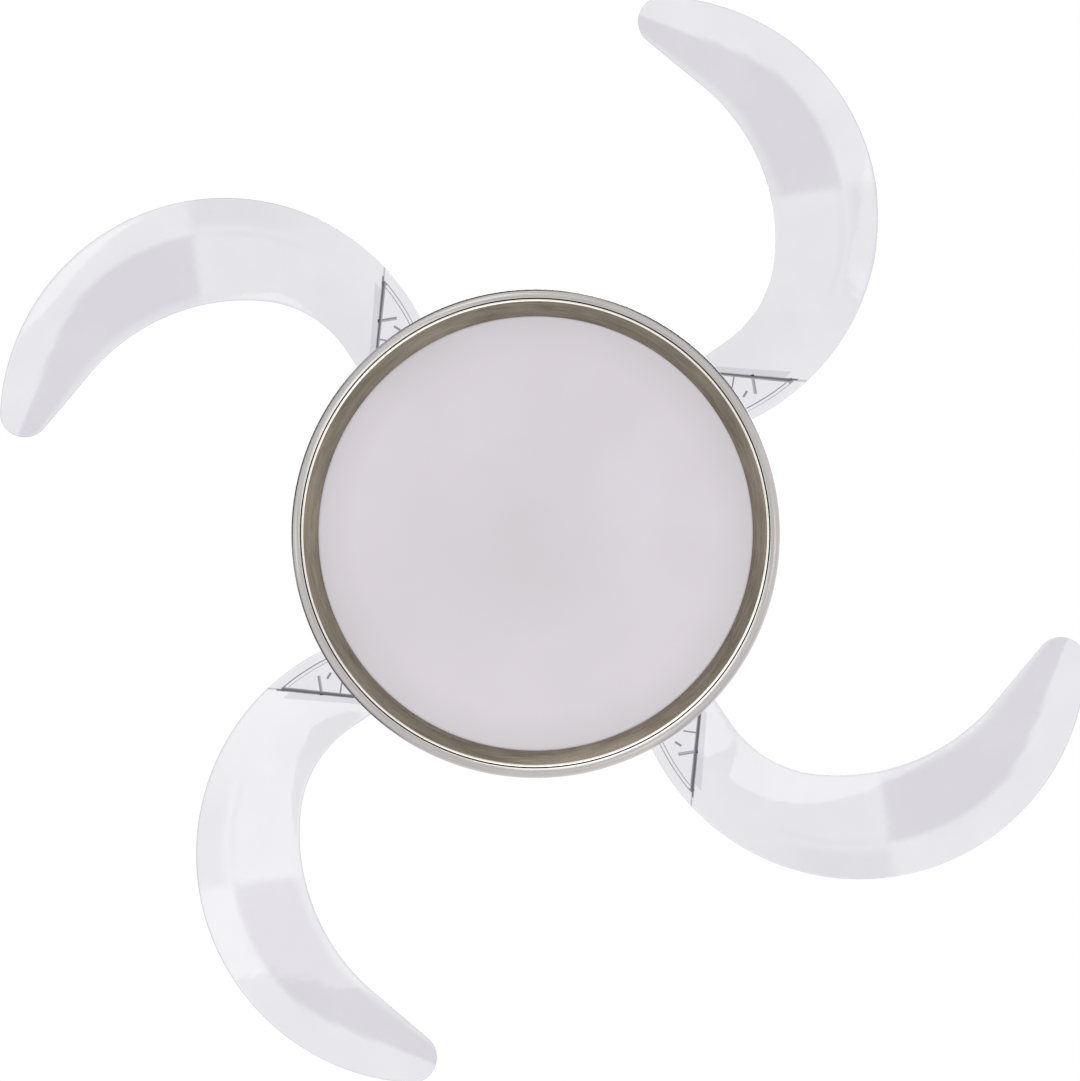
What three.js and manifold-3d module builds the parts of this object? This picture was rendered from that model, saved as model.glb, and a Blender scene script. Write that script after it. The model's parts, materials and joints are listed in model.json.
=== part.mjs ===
// Ceiling fan whose four clear blades swing out from the top of a round light drum.
// Millimetres, +Z up. The origin is on the fan's axis, in the plane of the ceiling.
// The fan hangs below it, at rest with its blades swung out. Seen from below, with +X to
// the right and +Y downwards, blade 1 turns on the pivot at the upper left.
import * as THREE from "three";
import { mergeVertices } from "three/addons/utils/BufferGeometryUtils.js";
import Module from "manifold-3d";

const wasm = await Module();
wasm.setup();

// ---------------------------------------------------------------- clearances
const seatGap = 0.3; // between pieces that rest on, or are fixed to, each other
const runGap = 0.3; // radial clearance of a part that turns on or in another
const ballGap = 0.6; // round the hanger's ball and its liner
const trayRun = 4; // free height between the spinning tray and the still light pan
const bite = 1; // how far joined solids reach into each other, and cuts past a face

// ---------------------------------------------------------------- sides of round pieces
const screwSides = 6;
const holeSides = 8;
const postSides = 12;
const turnSides = 20;
const ballSides = 24;
const shellSides = 28;
const wideSides = 36;
const domeSteps = 5; // of the rounded covers, from the side to the top

// ---------------------------------------------------------------- ceiling mount
const bracketThick = 3;
const bracketWidth = 44;
const slotSpacing = 89; // between the two ceiling box screws
const slotLength = 12;
const slotWidth = 5;
const tabHeight = 16;
const armWidth = 16;
const armThick = 6;
const armInset = 1; // from the seat's face out to the arms
const armDrop = 2; // how far the arms reach below the ball's centre
const seatRingWall = 4;
const seatRingSkirt = 8; // straight part of the seat ring below the ball's centre
const hookGap = 32; // side opening of the seat ring, for hanging the rod in
const hookRise = 10; // how far the opening reaches above the ball's centre
const receiverSize = [60, 18, 24];
const canopyRadius = 72;
const canopyWall = 1.2;
const canopyDepth = 68;
const canopySkirt = 30; // straight part of the canopy's side
const canopyHole = 29;
const canopyNeck = 37; // radius at the canopy's foot
const ceilingGap = 1; // between the canopy's rim and the ceiling
const canopyScrewDrop = 10;
const screwTail = 2; // length of a screw past the piece that it grips

// ---------------------------------------------------------------- hanger
const ballDrop = 40; // ceiling to the ball's centre
const ballRadius = 27;
const ballTop = 19; // flat top and bottom of the ball, from its centre
const linerThick = 2.3;
const seatLow = 41; // the seat reaches from this latitude below the ball's middle
const seatHigh = 9; // to this one above it, in degrees
const linerInset = 2; // degrees by which the liner ends above the seat's lower edge
const seatSteps = 5;
const ballSteps = 7;
const rodRadius = 13.35;
const rodWall = 2.85;
const rodLength = 150;
const rodAboveBall = 22;
const pinRadius = 3;
const ballPinInset = 2; // of the pin's ends from the ball's surface
const yokeRadius = 19;
const rodGrip = 30; // length of rod held in the yoke
const yokePinInset = 6; // from the yoke's top edge to the pin's hole
const yokePinProud = 1; // length of the pin that stands out of the yoke at each end
const yokeFloor = 8;
const yokeFlangeRadius = 32;
const yokeFlangeThick = 4;
const coverNeckHeight = 12; // of the coupling cover, round the rod
const coverWall = 1.2;
const couplingCoverRadius = 44;
const couplingCoverHeight = 62;

// ---------------------------------------------------------------- motor
const shaftRadius = 10;
const collarRadius = 26;
const collarThick = 5;
const coverScrewInset = 2.5; // of the cover's screws from the collar's rim
const shaftFoot = 6; // width of the shaft's foot, which the light pan hangs under
const shaftClearance = 2.5; // of the rotor's end walls round the shaft
const motorCoverRadius = 104;
const motorCoverDepth = 52;
const motorCoverRound = 14;
const coverRoundSteps = 3;
const rotorDrop = 5; // free height between the shaft's collar and the rotor
const rotorRadius = 80;
const rotorHeight = 62;
const rotorWall = 4;
const bearingRadius = 21;
const bearingWidth = 12;
const magnetThick = 5;
const magnetLength = 34;
const airGap = 1;
const statorLength = 24;
const slotCount = 9;
const statorYoke = 30; // outer radius of the stator's solid centre
const slotShare = 0.5; // of a slot pitch that is open
const coilThick = 5; // of the winding above and below the core
const coilInset = 6; // of the end coils from the stator's rim
const wireInset = 4; // of the wires in the slots from the stator's rim
const wireSlack = 1; // of the wires from the slot's floor in mm, and its sides in degrees

// ---------------------------------------------------------------- gears and tray
const gearModule = 2;
const hubTeeth = 37; // full count; only the sector in use is cut
const ringTeeth = 148;
const pressureAngle = 20;
const toothPlay = 0.15; // taken off each flank
const dedendum = 1.25; // depth of a tooth inside the pitch circle, in modules
const spareTeeth = 1.1; // teeth of the ring past each end of its mesh
const foldAngle = 120; // swing of a blade between out and folded
const bladeCount = 4;
const pivotAngle = -130.6; // of blade 1's pivot about the fan's axis
const trayMargin = 20; // of the tray outside the circle of the pivots
const trayThick = 2;
const trayHole = 22;
const ringThick = 6;
const ringBore = 132;
const ringLift = 0.8; // of the gears above the tray
const guideRadius = 5; // of the tray's pegs inside the ring
const guideCount = 6;
const guideGap = 0.9; // the ring's bore is a polygon, so its flats reach further in
const hubLayer = 12; // from the tray to the blade's root plate
const hubRadius = 26;
const postRadius = 6;
const postHeadRadius = 12;
const postHeadThick = 4;
const postChamfer = 1;
const rivetRadius = 4;
const rivetHeadRadius = 7;
const rivetHeadThick = 2;
const pocketRadius = 15;
const pocketDepth = 8.5;
const sleeveWall = 2;
const rootScrewRadius = 2;
const rootScrewHead = 4;
const rootScrewHeadThick = 2.4;
const rootScrewOffset = 20.5;
const rootScrewAngles = [-40, 40];
const rootScrewGrip = 5; // in the hub

// ---------------------------------------------------------------- return springs
const springWire = 1.2;
const springRadius = 11.4;
const springTurns = 3;
const springPitch = 1.9;
const springFootAngle = 0;
const springSteps = 8; // in a turn
const springSides = 5;

// ---------------------------------------------------------------- blades
// In plan a blade is a sickle. Its outer edge is an arc about a point that comes to lie
// on the fan's axis when the blade is folded. Angles along the blade are counted about
// that point from the pivot towards the tip.
const bladeArc = 216;
const bladeThick = 2.8;
const tipRadius = 22.7;
const tipAngle = 165.7;
const rootInnerRadius = 111.4; // first arc of the inner edge
const rootInnerOffset = 29.1; // its centre, from the outer arc's centre
const rootInnerBearing = 5.2;
const midInnerRadius = 195.4; // second arc of the inner edge
const innerJoinBearing = 72.3; // where the two meet, seen from the first one's centre
const wallOuter = 33.5; // ends of the step between root plate and blade, as angles
const wallInner = 6.5;
const wallLean = 1.8; // run of the step along the blade
const bladePitch = 10; // the inner, leading edge is the higher one
const bladeRise = 20; // per quarter turn, so that folded blades lie over each other
const bladeCamber = 4;
const camberReach = 30; // degrees past the step in which the camber builds up
const ribHeight = 6;
const ribWidth = 2.4;
const edgeRibInset = 9; // of the root's edge rib from the outer edge
const edgeRibEnd = 2; // degrees from the rib's end to the step
const edgeRibSteps = 5;
const stubRib = [[-22, -74], [-5.6, -74]]; // ends, in plan from the pivot
const tickRib = [[-9, -66], [-5, -62.4]];
const bladeRows = 18;
const rootRows = 4;
const bladeColumns = 3;

// ---------------------------------------------------------------- light
const drumRadius = 225;
const drumHeight = 45;
const panThick = 1;
const panRim = 12;
const trimWall = 2;
const trimFlange = 14;
const lipInset = 11; // of the trim ring's lowest edge from the drum's side
const lipFlat = 0.8;
const outerBevel = 14; // height of the trim ring's rounded outer face
const bevelSteps = 3;
const innerRise = 13; // height of its inner slope
const openingInset = 25; // of the light's opening from the drum's side
const ledgeWidth = 8; // of the trim ring's ledge that the diffuser rests on
const ledgeThick = 1.5; // of the ledge at the light's opening
const webDrop = 2; // from the pan's rim to the trim ring's web
const diffuserThick = 2.5;
const diffuserFlange = 5;
const diffuserDome = 6;
const diffuserSteps = 3;
const boardMargin = 15; // of the board inside the light's opening
const boardInner = 78;
const boardThick = 1.6;
const ledSize = 6;
const ledThick = 1.4;
const ledRows = [[26, 6], [74, 10]]; // distance outside the board's bore, and count
const driverSize = [80, 38, 22];
const driverOffset = 44;
const nutRadius = 17;
const nutThick = 8;
const shaftTail = 2;
const trimScrewAngles = [30, 150, 270];
const trimScrewHeadThick = 1.4;
const cableRadius = 3.4;
const cableBend = 9;
const cableSides = 8;
const cableTail = 6; // length of the cable above the rod
const crossingSteps = 5; // of the cable's way to the middle, below the yoke's pin
const bendSteps = 4;

// ---------------------------------------------------------------- derived levels
const ballZ = -ballDrop;
const rodTopZ = ballZ + rodAboveBall;
const rodBottomZ = rodTopZ - rodLength;
const yokeTopZ = rodBottomZ + rodGrip;
const yokeBottomZ = rodBottomZ - yokeFloor;
const yokePinZ = yokeTopZ - pinRadius - yokePinInset;
const coverTopZ = yokeBottomZ - seatGap;
const collarTopZ = coverTopZ - coverWall - seatGap;
const rotorTopZ = collarTopZ - collarThick - rotorDrop;
const rotorBottomZ = rotorTopZ - rotorHeight;
const rotorMidZ = (rotorTopZ + rotorBottomZ) / 2;
const trayTopZ = rotorBottomZ - seatGap;
const trayBottomZ = trayTopZ - trayThick;
const rootZ = trayTopZ + hubLayer; // underside of the blades' root plates
const panTopZ = trayBottomZ - trayRun;
const panBottomZ = panTopZ - panThick;
const lipZ = panTopZ - drumHeight;
const springFootZ = trayTopZ + ringLift + springWire;

// derived plan sizes
const ringPitchRadius = (gearModule * ringTeeth) / 2;
const hubPitchRadius = (gearModule * hubTeeth) / 2;
const pivotRadius = ringPitchRadius + hubPitchRadius;
const rootEndRadius = bladeArc - pivotRadius;
const linerInner = ballRadius + ballGap;
const linerOuter = linerInner + linerThick;
const seatInner = linerOuter + ballGap;
const sleeveInner = postRadius + runGap;
const sleeveOuter = sleeveInner + sleeveWall;
const shaftBore = cableRadius + seatGap;
const shaftPassage = shaftRadius + shaftClearance;
const coverScrewRing = collarRadius - coverScrewInset;
const bearingSeatRadius = bearingRadius + seatGap;
const statorRadius = rotorRadius - rotorWall - seatGap - magnetThick - airGap;
const trayRadius = pivotRadius + trayMargin;
const panRadius = drumRadius - trimWall - seatGap;
const trimScrewRing = panRadius - panThick - seatGap - trimFlange / 2;
const lipRadius = drumRadius - lipInset;
const lightOpening = drumRadius - openingInset;
const boardOuter = lightOpening - boardMargin;
const cableLane = pinRadius + seatGap + cableRadius; // beside the pins, in the rod
const rad = THREE.MathUtils.degToRad;

// ---------------------------------------------------------------- finishes
const finish = (color, roughness, metalness, extra = {}) =>
  new THREE.MeshStandardMaterial({ color, roughness, metalness, ...extra });
const brushedNickel = () => finish(0x9c948a, 0.35, 0.9);
const steel = () => finish(0x8d9093, 0.45, 0.8);
const zincSteel = () => finish(0xb3b6b8, 0.4, 0.8);
const castAluminium = () => finish(0xa9abad, 0.55, 0.7);
const sheetAluminium = () => finish(0xb4b6b8, 0.4, 0.8);
const whitePaint = () => finish(0xe9e9e7, 0.5, 0);
const clearPlastic = () => finish(0xe4e4ee, 0.05, 0, { transparent: true, opacity: 0.35 });
const opalPlastic = () => finish(0xd6d1d6, 0.5, 0);
const nylon = () => finish(0xdedbd0, 0.6, 0);
const darkPlastic = () => finish(0x2b2c2e, 0.6, 0);
const copper = () => finish(0xa8572c, 0.4, 0.8);
const springSteel = () => finish(0x6f7377, 0.3, 0.9);

// ---------------------------------------------------------------- solids
// A closed geometry as a solid that can be joined and cut.
function toSolid(geometry) {
  const bare = geometry.clone();
  bare.deleteAttribute("normal");
  bare.deleteAttribute("uv");
  const merged = mergeVertices(bare, 1e-3);
  const corners = Array.from(merged.index.array);
  const kept = [];
  for (let i = 0; i < corners.length; i += 3) {
    const [a, b, c] = corners.slice(i, i + 3);
    if (a !== b && b !== c && c !== a) kept.push(a, b, c);
  }
  return new wasm.Manifold(new wasm.Mesh({
    numProp: 3,
    vertProperties: new Float32Array(merged.attributes.position.array),
    triVerts: new Uint32Array(kept),
  }));
}

function toGeometry(solid) {
  const { vertProperties, triVerts } = solid.getMesh();
  const geometry = new THREE.BufferGeometry();
  geometry.setAttribute("position", new THREE.BufferAttribute(vertProperties, 3));
  geometry.setIndex(new THREE.BufferAttribute(triVerts, 1));
  geometry.computeVertexNormals();
  return geometry;
}

// The first geometry with the others joined on, then the last list cut away.
function joined(body, additions, cuts = []) {
  let solid = toSolid(body);
  for (const piece of additions) solid = solid.add(toSolid(piece));
  for (const piece of cuts) solid = solid.subtract(toSolid(piece));
  return toGeometry(solid);
}

const cutFrom = (body, cuts) => joined(body, [], cuts);

// A profile of [radius, z] corners turned about +Z. It closes on itself or on the axis.
function turned(profile, sides = turnSides) {
  const points = profile.map(([r, z]) => new THREE.Vector2(r, z));
  const onAxis = profile[0][0] === 0 && profile.at(-1)[0] === 0;
  if (!onAxis) points.push(points[0].clone());
  if (THREE.ShapeUtils.area(points) < 0) points.reverse();
  return new THREE.LatheGeometry(points, sides).rotateX(Math.PI / 2);
}

// A plain ring, or a disc when the inner radius is 0.
function ring(inner, outer, bottom, top, sides = turnSides) {
  return turned([[inner, bottom], [outer, bottom], [outer, top], [inner, top]], sides);
}

function extruded(shape, bottom, top, curveSegments = screwSides) {
  const options = { depth: top - bottom, bevelEnabled: false, curveSegments };
  return new THREE.ExtrudeGeometry(shape, options).translate(0, 0, bottom);
}

// A box given by its size, the middle of its plan and its underside.
function box(sizeX, sizeY, sizeZ, x, y, bottom) {
  return new THREE.BoxGeometry(sizeX, sizeY, sizeZ).translate(x, y, bottom + sizeZ / 2);
}

function outline(points) {
  return new THREE.Shape(points.map(([x, y]) => new THREE.Vector2(x, y)));
}

const polar = (radius, degrees) => [
  radius * Math.cos(rad(degrees)),
  radius * Math.sin(rad(degrees)),
];

// Points of an arc about a centre, both ends included.
function arc(centreR, centreZ, radius, from, to, steps) {
  return Array.from({ length: steps + 1 }, (_, i) => {
    const [x, y] = polar(radius, from + ((to - from) * i) / steps);
    return [centreR + x, centreZ + y];
  });
}

// A screw with its head's underside at z = 0, pointing down.
function screw(radius, length, headRadius, headThick) {
  const profile = [[0, -length], [radius, -length], [radius, 0], [headRadius, 0]];
  return turned([...profile, [headRadius, headThick], [0, headThick]], screwSides);
}

function add(parent, name, geometry, material) {
  const mesh = new THREE.Mesh(geometry, material);
  mesh.name = name;
  parent.add(mesh);
  return mesh;
}

function subgroup(parent) {
  const group = new THREE.Group();
  parent.add(group);
  return group;
}

// ---------------------------------------------------------------- ceiling mount
const canopyFlat = (canopyRadius - canopyWall) * Math.cos(Math.PI / shellSides);
const tabOuter = canopyFlat - seatGap;

function slotOutline() {
  const half = (slotLength - slotWidth) / 2;
  const shape = new THREE.Shape();
  shape.absarc(half, 0, slotWidth / 2, -Math.PI / 2, Math.PI / 2, false);
  shape.absarc(-half, 0, slotWidth / 2, Math.PI / 2, (3 * Math.PI) / 2, false);
  return shape;
}

// The open ring that carries the ball's liner on a round seat.
function seatRing() {
  const face = arc(0, ballZ, seatInner, -seatLow, seatHigh, seatSteps);
  const [lowR, lowZ] = face[0];
  const [, highZ] = face.at(-1);
  const outer = seatInner + seatRingWall;
  return turned([
    ...face, [outer, highZ], [outer, ballZ - seatRingSkirt], [lowR + seatRingWall, lowZ],
  ], ballSides);
}

function ceilingBracket() {
  const plate = box(2 * tabOuter, bracketWidth, bracketThick, 0, 0, -bracketThick);
  const shelfY = seatInner + seatRingWall + seatGap + receiverSize[1] / 2;
  const shelf = box(receiverSize[0], shelfY + receiverSize[1] / 2, bracketThick,
    0, (shelfY + receiverSize[1] / 2) / 2, -bracketThick);
  const additions = [shelf, seatRing()];
  const hookReach = seatInner + 2 * seatRingWall;
  const hookHeight = ballRadius + hookRise;
  const cuts = [box(hookGap, hookReach, hookHeight, 0, -hookReach / 2, ballZ - ballRadius)];
  const armX = seatInner + armInset + armThick / 2;
  const armBottom = ballZ - armDrop;
  for (const side of [-1, 1]) {
    additions.push(box(armThick, armWidth, -bracketThick / 2 - armBottom,
      side * armX, 0, armBottom));
    additions.push(box(bracketThick, armWidth, tabHeight,
      side * (tabOuter - bracketThick / 2), 0, -tabHeight));
    const slot = extruded(slotOutline(), -2 * bracketThick, bracketThick);
    cuts.push(slot.translate((side * slotSpacing) / 2, 0, 0));
  }
  cuts.push(canopyScrewHoles());
  const bracket = toSolid(joined(plate, additions, cuts));
  const room = ring(0, tabOuter, -2 * ballDrop, bracketThick, wideSides);
  return toGeometry(bracket.intersect(toSolid(room)));
}

// Holes for the canopy's two screws, through its wall and the bracket's end tabs.
function canopyScrewHoles() {
  const length = 2 * (canopyRadius + canopyWall);
  const ends = ring(0, rootScrewRadius + runGap, -length / 2, length / 2, screwSides);
  const inside = tabOuter - 2 * bracketThick;
  const middle = ring(0, 2 * rootScrewRadius, -inside, inside, screwSides);
  const rod = toSolid(ends).subtract(toSolid(middle));
  return toGeometry(rod).rotateY(Math.PI / 2).translate(0, 0, -canopyScrewDrop);
}

// Canopy side from the rim to the neck, at a given distance inside its outer face.
function canopySide(inset) {
  const skirtZ = -canopySkirt;
  const drop = canopyDepth - canopySkirt - inset;
  const draw = canopyRadius - canopyNeck;
  return Array.from({ length: domeSteps + 1 }, (_, i) => {
    const turn = rad((90 * i) / domeSteps);
    return [canopyNeck - inset + draw * Math.cos(turn), skirtZ - drop * Math.sin(turn)];
  });
}

function canopy() {
  const top = -ceilingGap;
  const outer = [[canopyRadius, top], ...canopySide(0), [canopyHole, -canopyDepth]];
  const inner = [[canopyHole, -canopyDepth + canopyWall], ...canopySide(canopyWall).reverse()];
  const shell = turned([...outer, ...inner, [canopyRadius - canopyWall, top]], shellSides);
  return cutFrom(shell, [canopyScrewHoles()]);
}

function addMount(fan) {
  add(fan, "ceiling_bracket", ceilingBracket(), zincSteel());
  add(fan, "canopy", canopy(), brushedNickel());
  for (const [index, side] of [1, -1].entries()) {
    const length = canopyWall + 2 * seatGap + bracketThick + screwTail;
    const piece = screw(rootScrewRadius, length, rootScrewHead, rootScrewHeadThick);
    piece.rotateY((side * Math.PI) / 2);
    piece.translate(side * (canopyRadius + seatGap), 0, -canopyScrewDrop);
    add(fan, `canopy_screw_${index + 1}`, piece, steel());
  }
  const [sizeX, sizeY, sizeZ] = receiverSize;
  const receiverY = seatInner + seatRingWall + seatGap + sizeY / 2;
  const receiver = box(sizeX, sizeY, sizeZ, 0, receiverY, -bracketThick - seatGap - sizeZ);
  add(fan, "receiver_box", receiver, darkPlastic());
}

// ---------------------------------------------------------------- hanger
function ballLiner() {
  const outer = arc(0, ballZ, linerOuter, -seatLow + linerInset, seatHigh, seatSteps);
  const inner = arc(0, ballZ, linerInner, seatHigh, -seatLow + linerInset, seatSteps);
  return turned([...outer, ...inner], ballSides);
}

// Cross hole for a pin along X.
function crossHole(z, length) {
  const hole = ring(0, pinRadius + seatGap, -length / 2, length / 2, screwSides);
  return hole.rotateY(Math.PI / 2).translate(0, 0, z);
}

function crossPin(z, length) {
  const pin = ring(0, pinRadius, -length / 2, length / 2, screwSides);
  return pin.rotateY(Math.PI / 2).translate(0, 0, z);
}

function hangerBall() {
  const reach = THREE.MathUtils.radToDeg(Math.asin(ballTop / ballRadius));
  const bore = rodRadius + seatGap;
  const surface = arc(0, ballZ, ballRadius, -reach, reach, ballSteps);
  const corners = [[bore, ballZ - ballTop], ...surface, [bore, ballZ + ballTop]];
  const shell = turned(corners, ballSides);
  return cutFrom(shell, [crossHole(ballZ, 3 * ballRadius)]);
}

function downrod() {
  const tube = ring(rodRadius - rodWall, rodRadius, rodBottomZ, rodTopZ);
  return cutFrom(tube, [crossHole(ballZ, 4 * rodRadius), crossHole(yokePinZ, 4 * rodRadius)]);
}

// Coupler that joins the rod to the motor's shaft.
function motorYoke() {
  const bore = rodRadius + seatGap;
  const floorZ = rodBottomZ - seatGap;
  const shaftHole = shaftRadius + seatGap;
  const body = turned([
    [shaftHole, yokeBottomZ], [yokeFlangeRadius, yokeBottomZ],
    [yokeFlangeRadius, yokeBottomZ + yokeFlangeThick],
    [yokeRadius, yokeBottomZ + yokeFlangeThick],
    [yokeRadius, yokeTopZ], [bore, yokeTopZ], [bore, floorZ], [shaftHole, floorZ],
  ]);
  const pinHole = crossHole(yokePinZ, 4 * yokeRadius);
  return cutFrom(body, [pinHole, ...coverScrewHoles()]);
}

function coverScrewHoles() {
  const hole = ring(0, rootScrewRadius + seatGap, collarTopZ - collarThick - bite,
    yokeBottomZ + yokeFlangeThick + bite, screwSides);
  return [-1, 1].map((side) => hole.clone().translate(0, side * coverScrewRing, 0));
}

// Bell that hides the yoke: a neck round the rod, then a dome down to the motor cover.
function couplingCover() {
  const foot = coverTopZ + seatGap;
  const top = foot + couplingCoverHeight;
  const neck = rodRadius + runGap;
  const dome = (inset) => Array.from({ length: domeSteps + 1 }, (_, i) => {
    const turn = rad((90 * i) / domeSteps);
    const spread = (couplingCoverRadius - neck - coverWall) * Math.sin(turn);
    const drop = (couplingCoverHeight - coverNeckHeight) * (1 - Math.cos(turn));
    return [neck + coverWall - inset + spread, top - coverNeckHeight - inset - drop];
  });
  const upper = dome(0);
  const lower = dome(coverWall).slice(0, -1);
  const outer = [[neck + coverWall, top], ...upper];
  const inner = [[couplingCoverRadius - coverWall, foot], ...lower.reverse(), [neck, top]];
  return turned([...outer, ...inner]);
}

function addHanger(fan) {
  add(fan, "ball_liner", ballLiner(), nylon());
  add(fan, "hanger_ball", hangerBall(), steel());
  add(fan, "downrod", downrod(), brushedNickel());
  add(fan, "hanger_pin", crossPin(ballZ, 2 * (ballRadius - ballPinInset)), steel());
  add(fan, "coupling_cover", couplingCover(), brushedNickel());
  add(fan, "motor_yoke", motorYoke(), zincSteel());
  add(fan, "yoke_pin", crossPin(yokePinZ, 2 * (yokeRadius + yokePinProud)), steel());
}

// ---------------------------------------------------------------- still parts of the motor
// The hollow shaft runs from the yoke to the light, through the rotor's bearings.
function motorShaft() {
  const top = rodBottomZ - 2 * seatGap;
  const collarBottom = collarTopZ - collarThick;
  const footTop = trayBottomZ - seatGap;
  const footBottom = panTopZ + seatGap;
  const tail = panBottomZ - nutThick - shaftTail;
  const footRadius = shaftRadius + shaftFoot;
  const body = turned([
    [shaftBore, top], [shaftRadius, top], [shaftRadius, collarTopZ],
    [collarRadius, collarTopZ], [collarRadius, collarBottom], [shaftRadius, collarBottom],
    [shaftRadius, footTop], [footRadius, footTop], [footRadius, footBottom],
    [shaftRadius, footBottom], [shaftRadius, tail], [shaftBore, tail],
  ]);
  return cutFrom(body, coverScrewHoles());
}

function motorCover() {
  const hole = shaftRadius + seatGap;
  const round = motorCoverRound;
  const corner = motorCoverRadius - round;
  const foot = coverTopZ - motorCoverDepth;
  const outer = arc(corner, coverTopZ - round, round, 90, 0, coverRoundSteps);
  const inner = arc(corner, coverTopZ - round, round - coverWall, 0, 90, coverRoundSteps);
  const shell = turned([
    [hole, coverTopZ], ...outer, [motorCoverRadius, foot],
    [motorCoverRadius - coverWall, foot], ...inner, [hole, coverTopZ - coverWall],
  ], shellSides);
  return cutFrom(shell, coverScrewHoles());
}

// Wedge for the stator's slots and the wires in them. Its flat outer side is square to
// the radius, at the outer distance.
function wedge(inner, outer, middle, spread, bottom, top) {
  const far = outer / Math.cos(rad(spread));
  const corners = [
    polar(inner, middle - spread), polar(far, middle - spread),
    polar(far, middle + spread), polar(inner, middle + spread),
  ];
  return extruded(outline(corners), bottom, top);
}

function statorSlots(slack, reach, bottom, top) {
  const pitch = 360 / slotCount;
  const spread = (pitch * slotShare) / 2 - slack;
  return Array.from({ length: slotCount }, (_, i) =>
    wedge(statorYoke + slack, reach, i * pitch, spread, bottom, top));
}

function statorCore() {
  const bottom = rotorMidZ - statorLength / 2;
  const top = bottom + statorLength;
  const core = ring(shaftRadius + seatGap, statorRadius, bottom, top, ballSides);
  return cutFrom(core, statorSlots(0, statorRadius + bite, bottom - bite, top + bite));
}

// Two end coils joined by the wires in the slots.
function statorWinding() {
  const low = rotorMidZ - statorLength / 2 - seatGap;
  const high = rotorMidZ + statorLength / 2 + seatGap;
  const inner = statorYoke + wireSlack;
  const outer = statorRadius - coilInset;
  const lowCoil = ring(inner, outer, low - coilThick, low);
  const highCoil = ring(inner, outer, high, high + coilThick);
  const wires = statorSlots(wireSlack, statorRadius - wireInset, low - bite, high + bite);
  return joined(lowCoil, [...wires, highCoil]);
}

function coverScrews(fan) {
  for (const [index, side] of [-1, 1].entries()) {
    const length = yokeFlangeThick + coverWall + 2 * seatGap + collarThick - bite;
    const piece = screw(rootScrewRadius, length, rootScrewHead, rootScrewHeadThick);
    piece.translate(0, side * coverScrewRing, yokeBottomZ + yokeFlangeThick + seatGap);
    add(fan, `cover_screw_${index + 1}`, piece, steel());
  }
}

function addStillMotor(fan) {
  add(fan, "motor_cover", motorCover(), brushedNickel());
  add(fan, "motor_shaft", motorShaft(), steel());
  add(fan, "stator_core", statorCore(), steel());
  add(fan, "stator_winding", statorWinding(), copper());
  coverScrews(fan);
}

// ---------------------------------------------------------------- spinning parts
// Half of the rotor's housing, open towards the middle. Side is 1 for the upper half.
function rotorShell(side) {
  const end = side > 0 ? rotorTopZ : rotorBottomZ;
  const level = (depth) => end - side * depth;
  const lip = rotorMidZ + (side * seatGap) / 2;
  const pocket = rotorWall + bearingWidth + seatGap;
  return turned([
    [shaftPassage, level(0)], [rotorRadius, level(0)], [rotorRadius, lip],
    [rotorRadius - rotorWall, lip], [rotorRadius - rotorWall, level(rotorWall)],
    [bearingSeatRadius + rotorWall, level(rotorWall)],
    [bearingSeatRadius + rotorWall, level(pocket)], [bearingSeatRadius, level(pocket)],
    [bearingSeatRadius, level(rotorWall)], [shaftPassage, level(rotorWall)],
  ], shellSides);
}

function bearing(side) {
  const end = side > 0 ? rotorTopZ : rotorBottomZ;
  const near = end - side * (rotorWall + seatGap);
  const far = near - side * bearingWidth;
  const inner = shaftRadius + runGap;
  return ring(inner, bearingRadius, Math.min(near, far), Math.max(near, far));
}

function magnetRing() {
  const outer = rotorRadius - rotorWall - seatGap;
  const bottom = rotorMidZ - magnetLength / 2;
  return ring(outer - magnetThick, outer, bottom, bottom + magnetLength, shellSides);
}

// Pegs that centre the gear ring, standing on the tray inside its bore.
function guidePegs() {
  const guideTop = trayTopZ + ringLift + ringThick;
  return Array.from({ length: guideCount }, (_, i) => {
    const peg = ring(0, guideRadius, trayTopZ - bite, guideTop, holeSides);
    const middle = ringBore - guideGap - guideRadius;
    return peg.translate(middle, 0, 0).rotateZ((2 * Math.PI * i) / guideCount);
  });
}

// The spinning plate that carries the pivots and centres the gear ring.
function bladeTray() {
  const plate = ring(trayHole, trayRadius, trayBottomZ, trayTopZ, wideSides);
  const below = trayBottomZ - bite;
  const above = trayTopZ + bite;
  const hole = ring(0, rivetRadius + seatGap, below, above, postSides);
  const [springX, springY] = polar(springRadius, springFootAngle);
  const springHole = ring(0, springWire, below, above, holeSides);
  const holes = [];
  for (let i = 0; i < bladeCount; i += 1) {
    const turn = rad(pivotAngle + (360 / bladeCount) * i);
    holes.push(hole.clone().translate(pivotRadius, 0, 0).rotateZ(turn));
    const offsetX = pivotRadius + springX;
    holes.push(springHole.clone().translate(offsetX, springY, 0).rotateZ(turn));
  }
  return joined(plate, guidePegs(), holes);
}

function pivotPost() {
  const top = rootZ + bladeThick + 2 * seatGap;
  return turned([
    [0, trayBottomZ - seatGap - rivetHeadThick],
    [rivetHeadRadius, trayBottomZ - seatGap - rivetHeadThick],
    [rivetHeadRadius, trayBottomZ - seatGap], [rivetRadius, trayBottomZ - seatGap],
    [rivetRadius, trayTopZ + seatGap], [postRadius, trayTopZ + seatGap],
    [postRadius, top], [postHeadRadius, top],
    [postHeadRadius, top + postHeadThick - postChamfer],
    [postHeadRadius - postChamfer, top + postHeadThick],
    [0, top + postHeadThick],
  ], postSides);
}

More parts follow.
